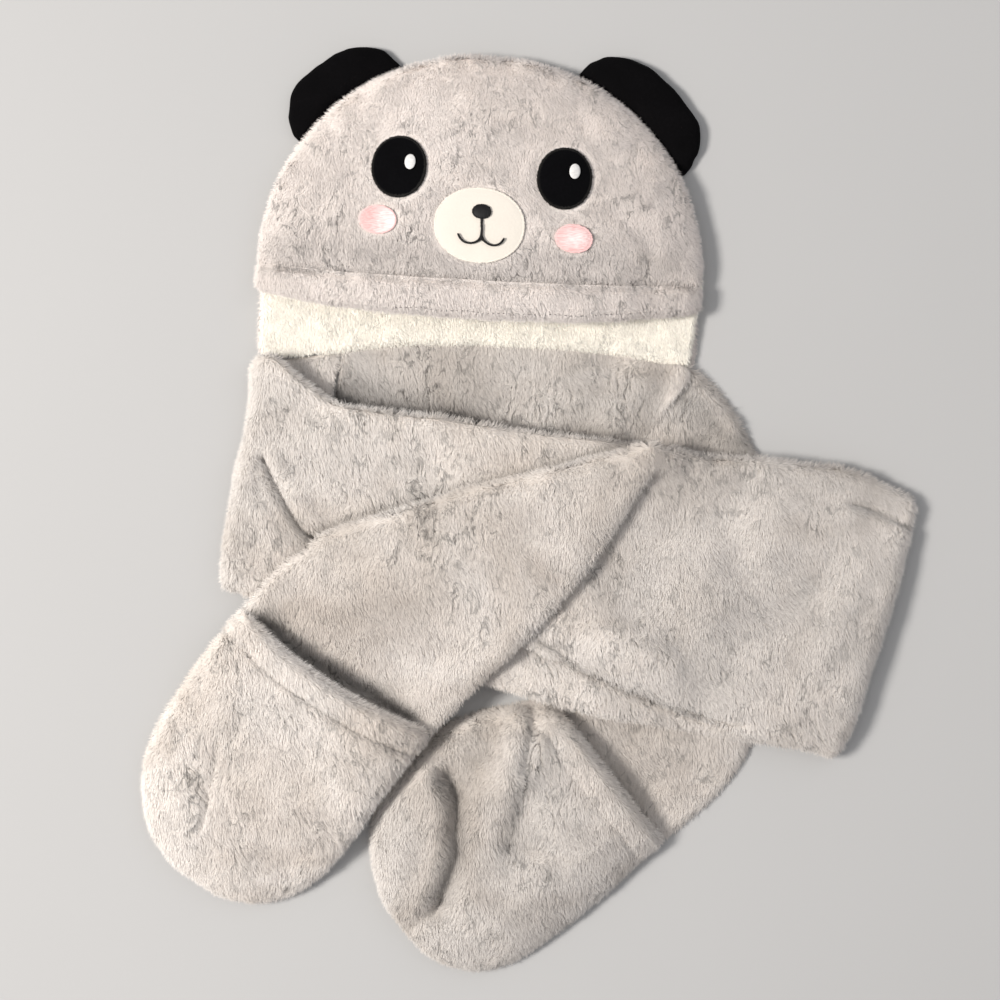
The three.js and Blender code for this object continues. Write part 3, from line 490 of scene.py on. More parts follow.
def shade(graph, base, roughness, normal=None, **fixed):
    """Ends a material with its shader. Fixed values go straight to their sockets."""
    inputs = {"Base Color": base, "Roughness": roughness, "Normal": normal}
    for name, value in fixed.items():
        inputs[name.replace("_", " ").title().replace("Ior", "IOR")] = value
    surface = graph.add("ShaderNodeBsdfPrincipled", None, inputs)
    graph.add("ShaderNodeOutputMaterial", None, {"Surface": surface})


def material(name, build):
    """The material of that name, made by build on its first use."""
    found = bpy.data.materials.get(name)
    if found is None:
        found = bpy.data.materials.new(name)
        found.use_nodes = True
        found.node_tree.nodes.clear()
        build(Graph(found.node_tree))
    return found


def scaled(colour, factor):
    return tuple(min(1.0, channel * factor) for channel in colour)


def tinted(colour, other, share):
    return tuple(a + (b - a) * share for a, b in zip(colour, other))


def plush_ground(name, colour, tuft):
    """The cloth under the pile, with painted shade in its partings and the painted shade and light of its
    tone.
    """

    def build(graph):
        parted = graph.parting(*graph.tufts(graph.place(), tuft))
        parted = parted * graph.painted("crinkle")
        # Painted shade: darker in the partings between tufts, and by the tone attribute
        tone = (1.04 - graph.noise(150, 3) * 0.2 - parted * 0.55) * graph.painted("tone")
        shade(
            graph, graph.toned(colour, tone), 0.95, graph.bump(graph.noise(600, 3), 0.5, 0.0006),
            sheen_weight=0.2, sheen_roughness=0.5, specular_ior_level=0.15,
        )

    return material(name, build)


def plush_pile(name, colour, warm, drifts, tuft):
    """Strands: darker at the root as painted shade, pale at the tip, each a little different, in drifts
    over the cloth, with painted shade in the partings.
    """

    def build(graph):
        strand = graph.painted("strand", 0)
        rise, own, crinkle = (
            graph.add("ShaderNodeSeparateColor", None, {0: strand}, index) for index in range(3)
        )
        parted = graph.parting(*graph.tufts(graph.place(), tuft)) * crinkle
        drift = (graph.noise(11, 3, distortion=0.8) - 0.5) * drifts + 0.7
        fine = graph.noise(80, 2)
        body = graph.mix(drift, scaled(tinted(colour, warm, 0.75), 0.9), colour)
        # Painted shade at the root: darker and warmer than the tip
        base = graph.mix(rise * 1.3 + 0.15, scaled(tinted(colour, warm, 0.5), 0.78), body)
        # Painted shade in the partings, and the painted shade and light of the tone in the fourth channel
        tone = (own * 0.1 + fine * 0.1 + 0.93 - parted * 0.5) * graph.painted("strand", 3)
        shade(
            graph, graph.toned(base, tone), 0.85,
            sheen_weight=0.25, sheen_roughness=0.4, specular_ior_level=0.2,
        )

    return material(name, build)


def satin(name, colour, turn, second=None, shine=0.4):
    """Thread laid side by side, that may fade into a second colour across the patch."""

    def build(graph):
        place = graph.add(
            "ShaderNodeMapping", {"vector_type": "TEXTURE"},
            {"Vector": graph.place(), "Rotation": (0, 0, turn), "Scale": (12, 1, 1)},
        )
        thread = graph.noise(1900, 2, place)
        tone = thread * 0.5 + graph.noise(300, 2) * 0.2 + 0.62
        base = colour
        if second:
            base = graph.mix(graph.painted("fade") + (thread - 0.5) * 0.9, colour, second)
        shade(
            graph, graph.toned(base, tone), 0.5, graph.bump(thread, 0.6, 0.0005),
            sheen_weight=shine * 0.25, specular_ior_level=shine,
        )

    return material(name, build)


def velvet(name, colour):
    """Black velvet with a faint nap."""

    def build(graph):
        nap = graph.noise(500, 3)
        base = graph.mix(nap * graph.noise(60, 2) * 1.6, colour, scaled(colour, 2.4))
        shade(
            graph, base, 0.95, graph.bump(nap, 0.5, 0.0005),
            sheen_weight=0.025, sheen_roughness=0.3, specular_ior_level=0.06,
        )

    return material(name, build)


def felt(name, colour):
    """Smooth short cloth."""

    def build(graph):
        nap = graph.noise(700, 3)
        base = graph.mix(nap * 0.5 + graph.noise(60, 2) * 0.5, scaled(colour, 0.9), scaled(colour, 1.05))
        shade(
            graph, base, 0.9, graph.bump(nap, 0.35, 0.0004),
            sheen_weight=0.2, sheen_roughness=0.5, specular_ior_level=0.2,
        )

    return material(name, build)


# Mesh work


def hashed(cells, seed):
    """A number from 0 to 1 for each row of whole numbers."""
    mixed = cells[:, 0] * 73856093 ^ cells[:, 1] * 19349663 ^ cells[:, 2] * 83492791 ^ seed * 2654435761
    mixed = (mixed ^ (mixed >> 13)) * 1274126177
    mixed = (mixed ^ (mixed >> 16)) & 0xFFFFFF
    return mixed / 0xFFFFFF


def cloud(points, size, seed):
    """Smooth noise from -1 to 1 with blobs of the given size, at an array of points in metres."""
    scaled_points = points / size
    base = np.floor(scaled_points).astype(np.int64)
    part = scaled_points - base
    part = part * part * (3 - 2 * part)
    total = np.zeros(len(points))
    for corner in np.ndindex(2, 2, 2):
        weight = np.prod(np.where(corner, part, 1 - part), axis=1)
        total += weight * hashed(base + np.array(corner), seed)
    return total * 2 - 1


def points_of(mesh):
    points = np.empty(len(mesh.vertices) * 3)
    mesh.vertices.foreach_get("co", points)
    return points.reshape(-1, 3)


def normals_of(mesh):
    normals = np.empty(len(mesh.vertices) * 3, np.float32)
    mesh.vertex_normals.foreach_get("vector", normals)
    return normals.reshape(-1, 3).astype(float)


def move_points(mesh, points):
    mesh.vertices.foreach_set("co", points.astype(np.float32).ravel())
    mesh.update()


def give(mesh, name, values):
    """Stores one number for each point of a mesh."""
    layer = mesh.attributes.get(name) or mesh.attributes.new(name, "FLOAT", "POINT")
    layer.data.foreach_set("value", values.astype(np.float32))


def stored(mesh, name):
    """The numbers that a mesh stores for its points."""
    values = np.empty(len(mesh.vertices), np.float32)
    mesh.attributes[name].data.foreach_get("value", values)
    return values


def all_smooth(mesh):
    for polygon in mesh.polygons:
        polygon.use_smooth = True


def tree_of(mesh):
    """A search tree over a mesh."""
    return BVHTree.FromPolygons([v.co for v in mesh.vertices], [list(p.vertices) for p in mesh.polygons])


def spots_on(node, shares):
    """Places in plan, from shares of the node's box."""
    low, high = (np.array(corner[:2]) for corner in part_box(node))
    return [low + np.array(share) * (high - low) for share in shares]


def linked(name, mesh):
    piece = bpy.data.objects.new(name, mesh)
    bpy.context.scene.collection.objects.link(piece)
    return piece


def cad_copy(node, name):
    """A copy of a solid with its doubles merged and its flat triangles paired."""
    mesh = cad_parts[node].data.copy()
    mesh.materials.clear()
    work = bmesh.new()
    work.from_mesh(mesh)
    bmesh.ops.remove_doubles(work, verts=work.verts, dist=2e-5)
    bmesh.ops.join_triangles(
        work, faces=work.faces, angle_face_threshold=math.radians(40), angle_shape_threshold=math.radians(80)
    )
    for face in work.faces:
        face.smooth = True
    work.to_mesh(mesh)
    work.free()
    mesh.name = name
    return linked(name, mesh)


def applied(piece):
    """Puts the evaluated shape into the piece and removes its modifiers."""
    depsgraph = bpy.context.evaluated_depsgraph_get()
    depsgraph.update()
    mesh = bpy.data.meshes.new_from_object(piece.evaluated_get(depsgraph), depsgraph=depsgraph)
    old = piece.data
    piece.modifiers.clear()
    piece.data = mesh
    mesh.name = piece.name
    bpy.data.meshes.remove(old)
    return piece


def smoothed(piece, levels):
    modifier = piece.modifiers.new("smooth", "SUBSURF")
    modifier.levels = levels
    modifier.render_levels = levels
    return applied(piece)


def all_solids():
    """One search tree over every solid."""
    corners = []
    faces = []
    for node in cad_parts.values():
        start = len(corners)
        corners.extend(vertex.co.copy() for vertex in node.data.vertices)
        faces.extend([start + i for i in polygon.vertices] for polygon in node.data.polygons)
    return BVHTree.FromPolygons(corners, faces)


SOLIDS = all_solids()


def looks():
    """The ways in which a place is tested, each with its worth: straight up, then two rings."""
    ways = [(1.0, Vector((0, 0, 1)))]
    for worth, lift, count in ((0.75, math.radians(48), 6), (0.6, math.radians(14), 8)):
        for turn in np.arange(count) * 2 * math.pi / count:
            flat = math.cos(lift)
            ways.append((worth, Vector((math.cos(turn) * flat, math.sin(turn) * flat, math.sin(lift)))))
    return ways


LOOKS = looks()


def openness(mesh):
    """How open each point lies, from 0 in a covered place to 1."""
    normals = normals_of(mesh)
    result = np.zeros(len(mesh.vertices))
    for index, vertex in enumerate(mesh.vertices):
        normal = Vector(normals[index])
        start = vertex.co + normal * RAY_START
        roof = SOLIDS.ray_cast(start, LOOKS[0][1], RAY_LENGTH)[0]
        if roof is not None and roof.z - start.z > ROOF_ROOM and normal.z > 0:
            result[index] = 0.6
        if start.z < BARE_SIDE and normal.z < 0.1:
            continue
        for worth, look in LOOKS:
            if look.dot(normal) < -0.25 or worth <= result[index]:
                continue
            if SOLIDS.ray_cast(start, look, RAY_LENGTH)[0] is None:
                result[index] = worth
    return result


def along_path(points, path):
    """The distance from each point to a path in plan."""
    best = np.full(len(points), np.inf)
    for start, end in zip(path[:-1], path[1:]):
        start = np.array(start)
        run = np.array(end) - start
        share = np.clip((points - start) @ run / (run @ run), 0, 1)
        best = np.minimum(best, np.linalg.norm(points - start - share[:, None] * run, axis=1))
    return best


def pressed(node, mesh):
    """Presses the piece's folds into its upper side, and gives where a gap was filled up to a level."""
    (_, _, bottom), (_, _, top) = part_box(node)
    points = points_of(mesh)
    filled = np.zeros(len(points))
    if node in HOLLOW:
        up = np.clip((points[:, 2] - bottom) / 0.008, 0, 1)
    elif node.endswith("hem"):
        up = 1
    else:
        up = np.clip(normals_of(mesh)[:, 2] * 2, 0, 1)
    for fold in FOLDS.get(node, []):
        path = spots_on(node, fold.path)
        wander = np.stack([cloud(points, 0.03, seed) for seed in (5, 6)], axis=1) * 0.002
        away = along_path(points[:, :2] + wander, path) / (fold.width * MM)
        if fold.fill is None:
            points[:, 2] += fold.rise * MM * up * np.exp(-away * away)
            continue
        run = path[-1] - path[0]
        share = np.clip((points[:, :2] - path[0]) @ run / (run @ run), 0, 1)
        first, last, base = bottom + np.array(fold.fill) * (top - bottom)
        near = np.exp(-(away**4)) * (points[:, 2] > base)
        gap = np.maximum(first + (last - first) * share - points[:, 2], 0)
        points[:, 2] += gap * near
        filled = np.maximum(filled, near * (gap > 0))
    move_points(mesh, points)
    return filled


def bulged(node, mesh):
    """Pushes the piece out where it bulges."""
    points = points_of(mesh)
    bulge = BULGES[node]
    away = np.linalg.norm(points[:, :2] - spots_on(node, [bulge.place])[0], axis=1)
    near = np.exp(-((away / (bulge.reach * MM)) ** 2))
    move_points(mesh, points + near[:, None] * np.array(bulge.push) * MM)


def rounded_off(node, mesh):
    """Rounds the piece's corners in plan."""
    points = points_of(mesh)
    for corner in ROUNDED.get(node, []):
        turn = math.radians(corner.inward)
        inward = np.array((math.cos(turn), math.sin(turn)))
        radius = corner.radius * MM
        middle = spots_on(node, [corner.place])[0] + inward * radius * math.sqrt(2)
        out = points[:, :2] - middle
        away = np.maximum(np.linalg.norm(out, axis=1), 1e-9)
        beyond = (out @ -inward > away * 0.7071) & (away > radius) & (away < radius * 2.2)
        points[beyond, :2] = middle + out[beyond] * (radius / away[beyond])[:, None]
    move_points(mesh, points)


def shaded_and_brushed(node, mesh):
    """Stores the pile's tone, with its painted shade and light, and how much it crinkles, and gives how much
    longer it is.
    """
    points = points_of(mesh)
    tone = np.full(len(points), CLOTH[node].tone, float)
    crinkle = np.full(len(points), CLOTH[node].crinkle, float)
    longer = np.ones(len(points))
    for patch in SHADED_AND_BRUSHED.get(node, []):
        away = along_path(points[:, :2], spots_on(node, patch.path))
        near = np.exp(-((away / (patch.width * MM)) ** 2))
        # Painted shade and light along the table's paths
        tone -= patch.dark * near
        crinkle -= patch.smooth * near
        longer += patch.long * near
    give(mesh, "tone", tone)
    give(mesh, "crinkle", np.clip(crinkle, 0.1, 1.3))
    return longer


def kept_to(node, mesh, share):
    """Brings a smoothed surface part of the way back to its solid."""
    tree = tree_of(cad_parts[node].data)
    points = points_of(mesh)
    spots = np.array([tree.find_nearest(vertex.co)[0] for vertex in mesh.vertices])
    move_points(mesh, points + (spots - points) * share)


def drawn_to(node, mesh, reach, sink):
    """Draws the edge of a piece up to the piece that it is sewn to, and lowers it along the seam."""
    tree = tree_of(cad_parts[node].data)
    points = points_of(mesh)
    sewn = np.zeros(len(points))
    half = points[:, 2] > (points[:, 2].min() + points[:, 2].max()) / 2
    up = np.maximum(normals_of(mesh)[:, 2], 0)
    far = max(reach, SEAM_WIDTH * MM)
    for index, vertex in enumerate(mesh.vertices):
        spot, _, _, away = tree.find_nearest(vertex.co, far)
        if spot is None:
            continue
        if 1e-6 < away < reach:
            pull = math.sqrt(1 - away / reach) * (away + 0.0006) / away
            points[index] += (np.array(spot) - points[index]) * pull
            sewn[index] = 1.0
        points[index, 2] -= sink * up[index] * (1 - away / far)
    move_points(mesh, points)
    return sewn * half


def near_face(points):
    """1 under an applique and 0 away from it."""
    mask = np.zeros(len(points))
    for node in FACE:
        low, high = (np.array(corner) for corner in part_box(node))
        middle = (low + high) / 2
        half = (high - low) / 2
        out = np.linalg.norm((points[:, :2] - middle[:2] - (0, 0.0008)) / half[:2], axis=1)
        mask = np.maximum(mask, 1 - np.clip(((out - 1) * half[0] - 0.0008) / 0.0025, 0, 1))
    return mask


def ruffled(mesh, plush, calm=None):
    """Gives the cloth the soft clumps of its plush."""
    points = points_of(mesh)
    size = PLUSH[plush].clump_size * MM
    clump = cloud(points, size, 23) * 0.65 + cloud(points, size / 2, 24) * 0.35
    clump += cloud(points, size * 3, 25) * 0.6
    height = CLUMP_HEIGHT * clump * MM
    if calm is not None:
        height = height * (1 - calm) - calm * 0.0004
    lift = normals_of(mesh) * height[:, None]
    floor_side = points[:, 2] < FLOOR_SIDE
    lift[floor_side, 2] = np.maximum(lift[floor_side, 2], 0)
    move_points(mesh, points + lift)


def swollen(piece, pressure, cap):
    """Fills a pad with air by cloth simulation, and stops each point at the cap."""
    remesh = piece.modifiers.new("voxels", "REMESH")
    remesh.mode = "VOXEL"
    remesh.voxel_size = VOXEL
    applied(piece)
    before = points_of(piece.data)
    cloth = piece.modifiers.new("air", "CLOTH")
    cloth.settings.use_pressure = True
    cloth.settings.uniform_pressure_force = pressure
    cloth.settings.effector_weights.gravity = 0
    cloth.settings.quality = 4
    scene = bpy.context.scene
    for step in range(1, AIR_FRAMES + 1):
        scene.frame_set(step)
    applied(piece)
    scene.frame_set(1)
    moved = points_of(piece.data) - before
    length = np.linalg.norm(moved, axis=1, keepdims=True)
    points = before + moved * np.minimum(1, cap / np.maximum(length, 1e-9))
    points[:, 2] = np.maximum(points[:, 2], SKIN)
    move_points(piece.data, points)
    relax = piece.modifiers.new("relax", "SMOOTH")
    relax.factor = 0.5
    relax.iterations = RELAX_ROUNDS
    applied(piece)
    all_smooth(piece.data)
    return smoothed(piece, 1)


def settle(piece, slot, nodes=(), material_of=None):
    """Gives a finished piece its material, hangs it on the root body and hides the solids that it replaces.
    """
    if material_of:
        piece.data.materials.clear()
        piece.data.materials.append(material_of)
    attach(piece, "root")
    if nodes:
        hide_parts(*nodes)
    return piece


# Pile


def strand_mesh():
    """One strand of unit length and unit width."""
    mesh = bpy.data.meshes.new("strand")
    mesh.from_pydata([(-0.5, 0, 0), (0.5, 0, 0), (0, 0.15, 1)], [], [(0, 1, 2)])
    give(mesh, "rise", np.array([0, 0, 1]))
    return mesh


def new_tree(name, numbers, others):
    """An empty tree of geometry nodes, as its graph and its given values by name."""
    tree = bpy.data.node_groups.new(name, "GeometryNodeTree")
    sockets = {"Geometry": "Geometry", **dict.fromkeys(numbers, "Float"), **others}
    for label, kind in sockets.items():
        tree.interface.new_socket(label, in_out="INPUT", socket_type=f"NodeSocket{kind}")
    tree.interface.new_socket("Geometry", in_out="OUTPUT", socket_type="NodeSocketGeometry")
    graph = Graph(tree)
    source = tree.nodes.new("NodeGroupInput")
    return graph, {socket.name: Value(graph, socket) for socket in source.outputs if socket.name}


def end_tree(graph, given, points, instance, turn, size):
    """Puts the instance on every point, makes it real and gives it its material."""
    inputs = {"Points": points, "Instance": instance, "Rotation": turn, "Scale": size}
    rows = graph.add("GeometryNodeInstanceOnPoints", None, inputs)
    real = graph.add("GeometryNodeRealizeInstances", None, {0: rows})
    done = graph.add("GeometryNodeSetMaterial", None, {0: real, 2: given["Material"]})
    graph.add("NodeGroupOutput", None, {0: done})
    return graph.tree


def pile_tree():
    """Strands over a surface, where its pile attribute says, leaning with the nap and drawn into tufts."""
    if "pile" in bpy.data.node_groups:
        return bpy.data.node_groups["pile"]
    numbers = ("Density", "Length", "Width", "Lean", "Tuft", "Tuft Size")
    others = {"Seed": "Int", "Nap": "Vector", "Strand": "Object", "Material": "Material"}
    graph, given = new_tree("pile", numbers, others)
    vector = graph.vector
    scaled_by = graph.scaled

    def chance(low, high, offset):
        seed = graph.add("ShaderNodeMath", {"operation": "ADD"}, {0: given["Seed"], 1: offset})
        return graph.chance(low, high, seed)

    amount = graph.stored("pile")
    points = graph.add(
        "GeometryNodeDistributePointsOnFaces", {"distribute_method": "RANDOM"},
        {"Mesh": given["Geometry"], "Density": given["Density"] * amount, "Seed": given["Seed"]},
    )
    normal = points.also("Normal")

    place = graph.add("GeometryNodeInputPosition")
    tuft = graph.tufts(place, given["Tuft Size"])
    crinkle = graph.stored("crinkle")
    parted = graph.parting(*tuft) * crinkle
    sway = graph.noise(0.3, 2.0, scaled_by(place, 1 / given["Tuft Size"]), output=1)
    loose = graph.add(
        "FunctionNodeRandomValue", {"data_type": "FLOAT_VECTOR"}, {0: (-1, -1, -1), 1: (1, 1, 1)}
    )
    nap = given["Nap"]
    for pull in (
        scaled_by(vector("SUBTRACT", sway, (0.5, 0.5, 0.5)), 2.6),
        scaled_by(scaled_by(graph.gathering(*tuft), crinkle), given["Tuft"]),
        scaled_by(loose, 0.28),
    ):
        nap = vector("ADD", nap, pull)
    flat = vector("SUBTRACT", nap, scaled_by(normal, vector("DOT_PRODUCT", nap, normal)))

    side = 1 - graph.absolute(vector("DOT_PRODUCT", normal, (0, 0, 1)))
    lean = scaled_by(scaled_by(vector("NORMALIZE", flat), given["Lean"]), 1 - side * 0.5)
    heading = vector("ADD", lean, scaled_by(normal, chance(0.22, 0.8, 3) + side * 0.3))
    upper = vector("ADD", normal, scaled_by((0, 0, 1), side * 2.5))
    turn = graph.add(
        "FunctionNodeAxesToRotation", {"primary_axis": "Z", "secondary_axis": "Y"},
        {0: heading, 1: scaled_by(upper, -1.0)},
    )
    length = given["Length"] * chance(0.65, 1.15, 5) * (amount * 0.5 + 0.5) * (1 + side * 0.2)
    width = given["Width"] * chance(0.7, 1.2, 6)
    size = graph.add("ShaderNodeCombineXYZ", None, {0: width, 1: length, 2: length})
    strand = graph.add("GeometryNodeObjectInfo", None, {0: given["Strand"]}, 4)

    bare = graph.add(
        "FunctionNodeCompare", {"data_type": "FLOAT", "operation": "GREATER_THAN"},
        {0: parted, 1: chance(0.45, 1.2, 11)},
    )
    kept = graph.add("GeometryNodeDeleteGeometry", {"domain": "POINT"}, {0: points, 1: bare})
    kept = graph.store(kept, "own", chance(0.0, 1.0, 9))
    kept = graph.store(kept, "curl", crinkle)
    raised = vector("ADD", normal, scaled_by((0, 0, 1), side * 0.8 + 0.45))
    facing = vector("NORMALIZE", vector("ADD", raised, scaled_by(lean, 0.28)))
    kept = graph.store(kept, "facing", facing, "FLOAT_VECTOR")
    return end_tree(graph, given, kept, strand, turn, size)


def set_inputs(modifier, values):
    """Sets a modifier's inputs by the identifiers of their sockets."""
    for item in modifier.node_group.interface.items_tree:
        if item.item_type == "SOCKET" and item.in_out == "INPUT" and item.name in values:
            modifier[item.identifier] = values[item.name]


def grow_pile(piece, name, plush, seed, zone):
    """The strands of one zone of a piece, as a piece of their own."""
    settings = bpy.context.scene.hood_pile
    lengths = {"scarf": settings.scarf_length, "hood": settings.hood_length, "lining": settings.lining_length}
    ground = piece.data.copy()
    points = points_of(ground)
    give(ground, "pile", stored(ground, "pile") * (points[:, 0] >= zone[0]) * (points[:, 0] < zone[1]))
    strands = linked(name, ground)
    strand = linked("strand", strand_mesh())
    modifier = strands.modifiers.new("pile", "NODES")
    modifier.node_group = pile_tree()
    share, widening = ((1.0, 1.0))
    set_inputs(
        modifier,
        {
            "Density": settings.density * share,
            "Length": lengths[plush],
            "Width": settings.strand_width * widening,
            "Lean": PLUSH[plush].lean,
            "Tuft": PLUSH[plush].pull,
            "Tuft Size": PLUSH[plush].tuft * MM,
            "Seed": seed,
            "Nap": NAP,
            "Strand": strand,
            "Material": plush_material(plush, "pile"),
        },
    )
    applied(strands)
    mesh = strands.data
    points = points_of(mesh)
    points[:, 2] = np.maximum(points[:, 2], SKIN)
    move_points(mesh, points)
    facing = np.empty(len(points) * 3, np.float32)
    mesh.attributes["facing"].data.foreach_get("vector", facing)
    # The fourth channel is the tone, which carries the painted shade and light
    colours = np.stack([stored(mesh, part) for part in ("rise", "own", "curl", "tone")], axis=1)
    layer = mesh.color_attributes.new("strand", "FLOAT_COLOR", "POINT")
    layer.data.foreach_set("color", colours.astype(np.float32).ravel())
    for attribute in ("rise", "own", "tone", "facing", "pile", "curl", "crinkle"):
        if attribute in mesh.attributes:
            mesh.attributes.remove(mesh.attributes[attribute])
    all_smooth(mesh)
    mesh.normals_split_custom_set_from_vertices(facing.reshape(-1, 3).tolist())
    bpy.data.objects.remove(strand)
    return strands


def plush_material(plush, part):
    colours = bpy.context.scene.hood_colours
    colour = tuple(getattr(colours, plush))
    facts = PLUSH[plush]
    if part == "pile":
        return plush_pile(f"{plush}_pile", colour, facts.warm, facts.drifts, facts.tuft * MM)
    # The cloth under the pile is a little darker and warmer than the strands: painted shade under the pile
    return plush_ground(f"{plush}_ground", scaled(tinted(colour, facts.warm, 0.4), 0.95), facts.tuft * MM)


# Operators


class Maker:
    """What the operators share."""

    bl_options = {"REGISTER"}

    def execute(self, context):
        self.make(context)
        return {"FINISHED"}


def cloth_piece(node):
    """Dresses one cloth solid, apart from its pile."""
    facts = CLOTH[node]
    piece = smoothed(cad_copy(node, node.replace("_", "-")), facts.smooth)
    piece.name = f"{node}_cloth"
    mesh = piece.data
    kept_to(node, mesh, 0.75 if node.endswith(("hem", "brim")) else 0.5)
    open_share = openness(mesh)
    for other, reach, sink in SEAMS.get(node, []):
        sewn = drawn_to(other, mesh, reach * MM, sink * MM)
        open_share = np.maximum(open_share, 0.8 * sewn * (normals_of(mesh)[:, 2] > -0.3))
    open_share = np.maximum(open_share, 0.9 * pressed(node, mesh))
    rounded_off(node, mesh)
    if node in BULGES:
        bulged(node, mesh)
    calm = near_face(points_of(mesh)) if node == "hood_front" else None
    ruffled(mesh, facts.plush, calm)
    pile = open_share
    if calm is not None:
        upper = normals_of(mesh)[:, 2] > 0
        pile = pile * np.where(upper, 1 - calm, 1)
    give(mesh, "pile", pile * shaded_and_brushed(node, mesh))
    settle(piece, PLUSH[facts.plush].slot, [node], plush_material(facts.plush, "ground"))


class HOODSCARF_OT_stage(Maker, bpy.types.Operator):
    """Lay the floor, hang the lights and aim the camera."""

    bl_idname = "hoodscarf.stage"
    bl_label = "Stage"

    def make(self, context):
        settings = context.scene.hood_stage
        view = bpy.data.cameras.new("camera")
        view.sensor_width = SENSOR
        view.lens = SENSOR * (settings.camera_height - MIDDLE_HEIGHT) / settings.view_width
        camera = bpy.data.objects.new("camera", view)
        camera.location = (*CAMERA_PLACE, settings.camera_height)
        context.scene.collection.objects.link(camera)
        context.scene.camera = camera

        work = bmesh.new()
        bmesh.ops.create_grid(work, x_segments=2, y_segments=2, size=4)
        mesh = bpy.data.meshes.new("floor")
        work.to_mesh(mesh)
        work.free()
        floor = linked("floor", mesh)

        def build(graph):
            cloudiness = graph.noise(2.5, 3)
            colour = tuple(settings.floor_colour)
            shade(graph, graph.mix(cloudiness, scaled(colour, 0.97), scaled(colour, 1.03)), 0.85)

        floor.data.materials.append(material("floor_matt", build))
        for name, place, size, power, colour in (
            ("key_light", (-1.9, -0.05, 2.35), 0.65, 98, (1.0, 0.975, 0.94)),
            ("fill_light", (1.4, 1.0, 1.9), 1.8, 6, (0.95, 0.97, 1.0)),
            ("top_light", (-0.2, 0.1, 2.4), 1.6, 11, (1.0, 0.99, 0.97)),
        ):
            lamp = bpy.data.lights.new(name, "AREA")
            lamp.size = size
            lamp.energy = power
            lamp.color = colour
            light = bpy.data.objects.new(name, lamp)
            light.location = place
            aim = Vector((0, 0, 0)) - Vector(place)
            light.rotation_euler = aim.to_track_quat("-Z", "Y").to_euler()
            context.scene.collection.objects.link(light)
        world = bpy.data.worlds.new("soft_room")
        world.use_nodes = True
        sky = world.node_tree.nodes["Background"]
        sky.inputs["Color"].default_value = (0.9, 0.93, 1.0, 1)
        sky.inputs["Strength"].default_value = 0.33
        context.scene.world = world
        context.scene.view_settings.view_transform = "Standard"


class HOODSCARF_OT_hood(Maker, bpy.types.Operator):
    """Dress the hood's back, lining, front and brim."""

    bl_idname = "hoodscarf.hood"
    bl_label = "Hood"

    def make(self, context):
        for node in ("hood_back", "hood_lining", "hood_front", "hood_brim"):
            cloth_piece(node)


class HOODSCARF_OT_scarf(Maker, bpy.types.Operator):
    """Dress the neck, both arms and both pockets."""

    bl_idname = "hoodscarf.scarf"
    bl_label = "Scarf"

    def make(self, context):
        for node in CLOTH:
            if not node.startswith("hood_"):
                cloth_piece(node)


class HOODSCARF_OT_ears(Maker, bpy.types.Operator):
    """Fill and dress the two ears."""

    bl_idname = "hoodscarf.ears"
    bl_label = "Ears"

    def make(self, context):
        colour = tuple(context.scene.hood_colours.ears)
        for node in ("ear_left", "ear_right"):
            piece = swollen(cad_copy(node, f"{node}_pad"), 5.0, 0.006)
            points = points_of(piece.data)
            bumps = cloud(points, 0.018, 31) * 0.0013 + cloud(points, 0.008, 32) * 0.0005 + 0.0014
            bumps[points[:, 2] < 0.002] = 0
            move_points(piece.data, points + normals_of(piece.data) * bumps[:, None])
            bulged(node, piece.data)
            settle(piece, "black_plush", [node], velvet("ear_plush", colour))


class HOODSCARF_OT_face(Maker, bpy.types.Operator):
    """Lay the appliques and the stitching of the face."""

    bl_idname = "hoodscarf.face"
    bl_label = "Face"

    def make(self, context):
        finishes = face_finishes(context.scene.hood_colours)
        for node, facts in FACE.items():
            piece = smoothed(cad_copy(node, f"{node}_patch"), 2)
            if node.startswith("glint"):
                shrunk(piece.data, 0.88)
            fade_across(node, piece.data)
            settle(piece, facts.slot, [node], finishes[facts.finish])
            if facts.edge:
                ring = stitch_ring(piece, f"{node}_stitches", facts.reach * MM, finishes[facts.edge])
                settle(ring, facts.slot)
        brim_line(finishes["brim_thread"])
        piece = smoothed(cad_copy("mouth", "mouth_stitches"), 2)
        move_points(piece.data, points_of(piece.data) + normals_of(piece.data) * 0.0001)
        settle(piece, "dark_thread", ["mouth"], finishes["dark_satin"])
        chin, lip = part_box("nose"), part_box("mouth")
        middle = (chin[0][0] + chin[1][0]) / 2
        line = [
            (middle, chin[0][1] + 0.0006, lip[1][2] - 0.0019),
            (middle - 0.0002, lip[1][1] - 0.002, lip[1][2] - 0.0014),
        ]
        stem = stitch_row("mouth_stem", line, False, (0.0005, 0.0017, 0.0008, 0.5), finishes["nose_edge"])
        settle(stem, "dark_thread")


def brim_line(finish):
    """The row of stitches along the lower edge of the brim."""
    mesh = bpy.data.objects["hood_brim_cloth"].data
    points = points_of(mesh)
    top = points[normals_of(mesh)[:, 2] > 0.25]
    line = []
    for x in np.arange(-0.09, 0.085, 0.004):
        near = top[np.abs(top[:, 0] - x) < 0.004]
        edge = near[:, 1].min() + 0.0008
        line.append((x, edge, near[np.abs(near[:, 1] - edge).argmin(), 2] + 0.0024))
    settle(stitch_row("brim_stitches", line, False, (0.0034, 0.0007, 0.0016, 0.0), finish), "grey_plush")


def shrunk(mesh, share):
    """Shrinks a patch in plan about its middle."""
    points = points_of(mesh)
    middle = (points.min(axis=0) + points.max(axis=0)) / 2
    points[:, :2] = middle[:2] + (points[:, :2] - middle[:2]) * share
    move_points(mesh, points)


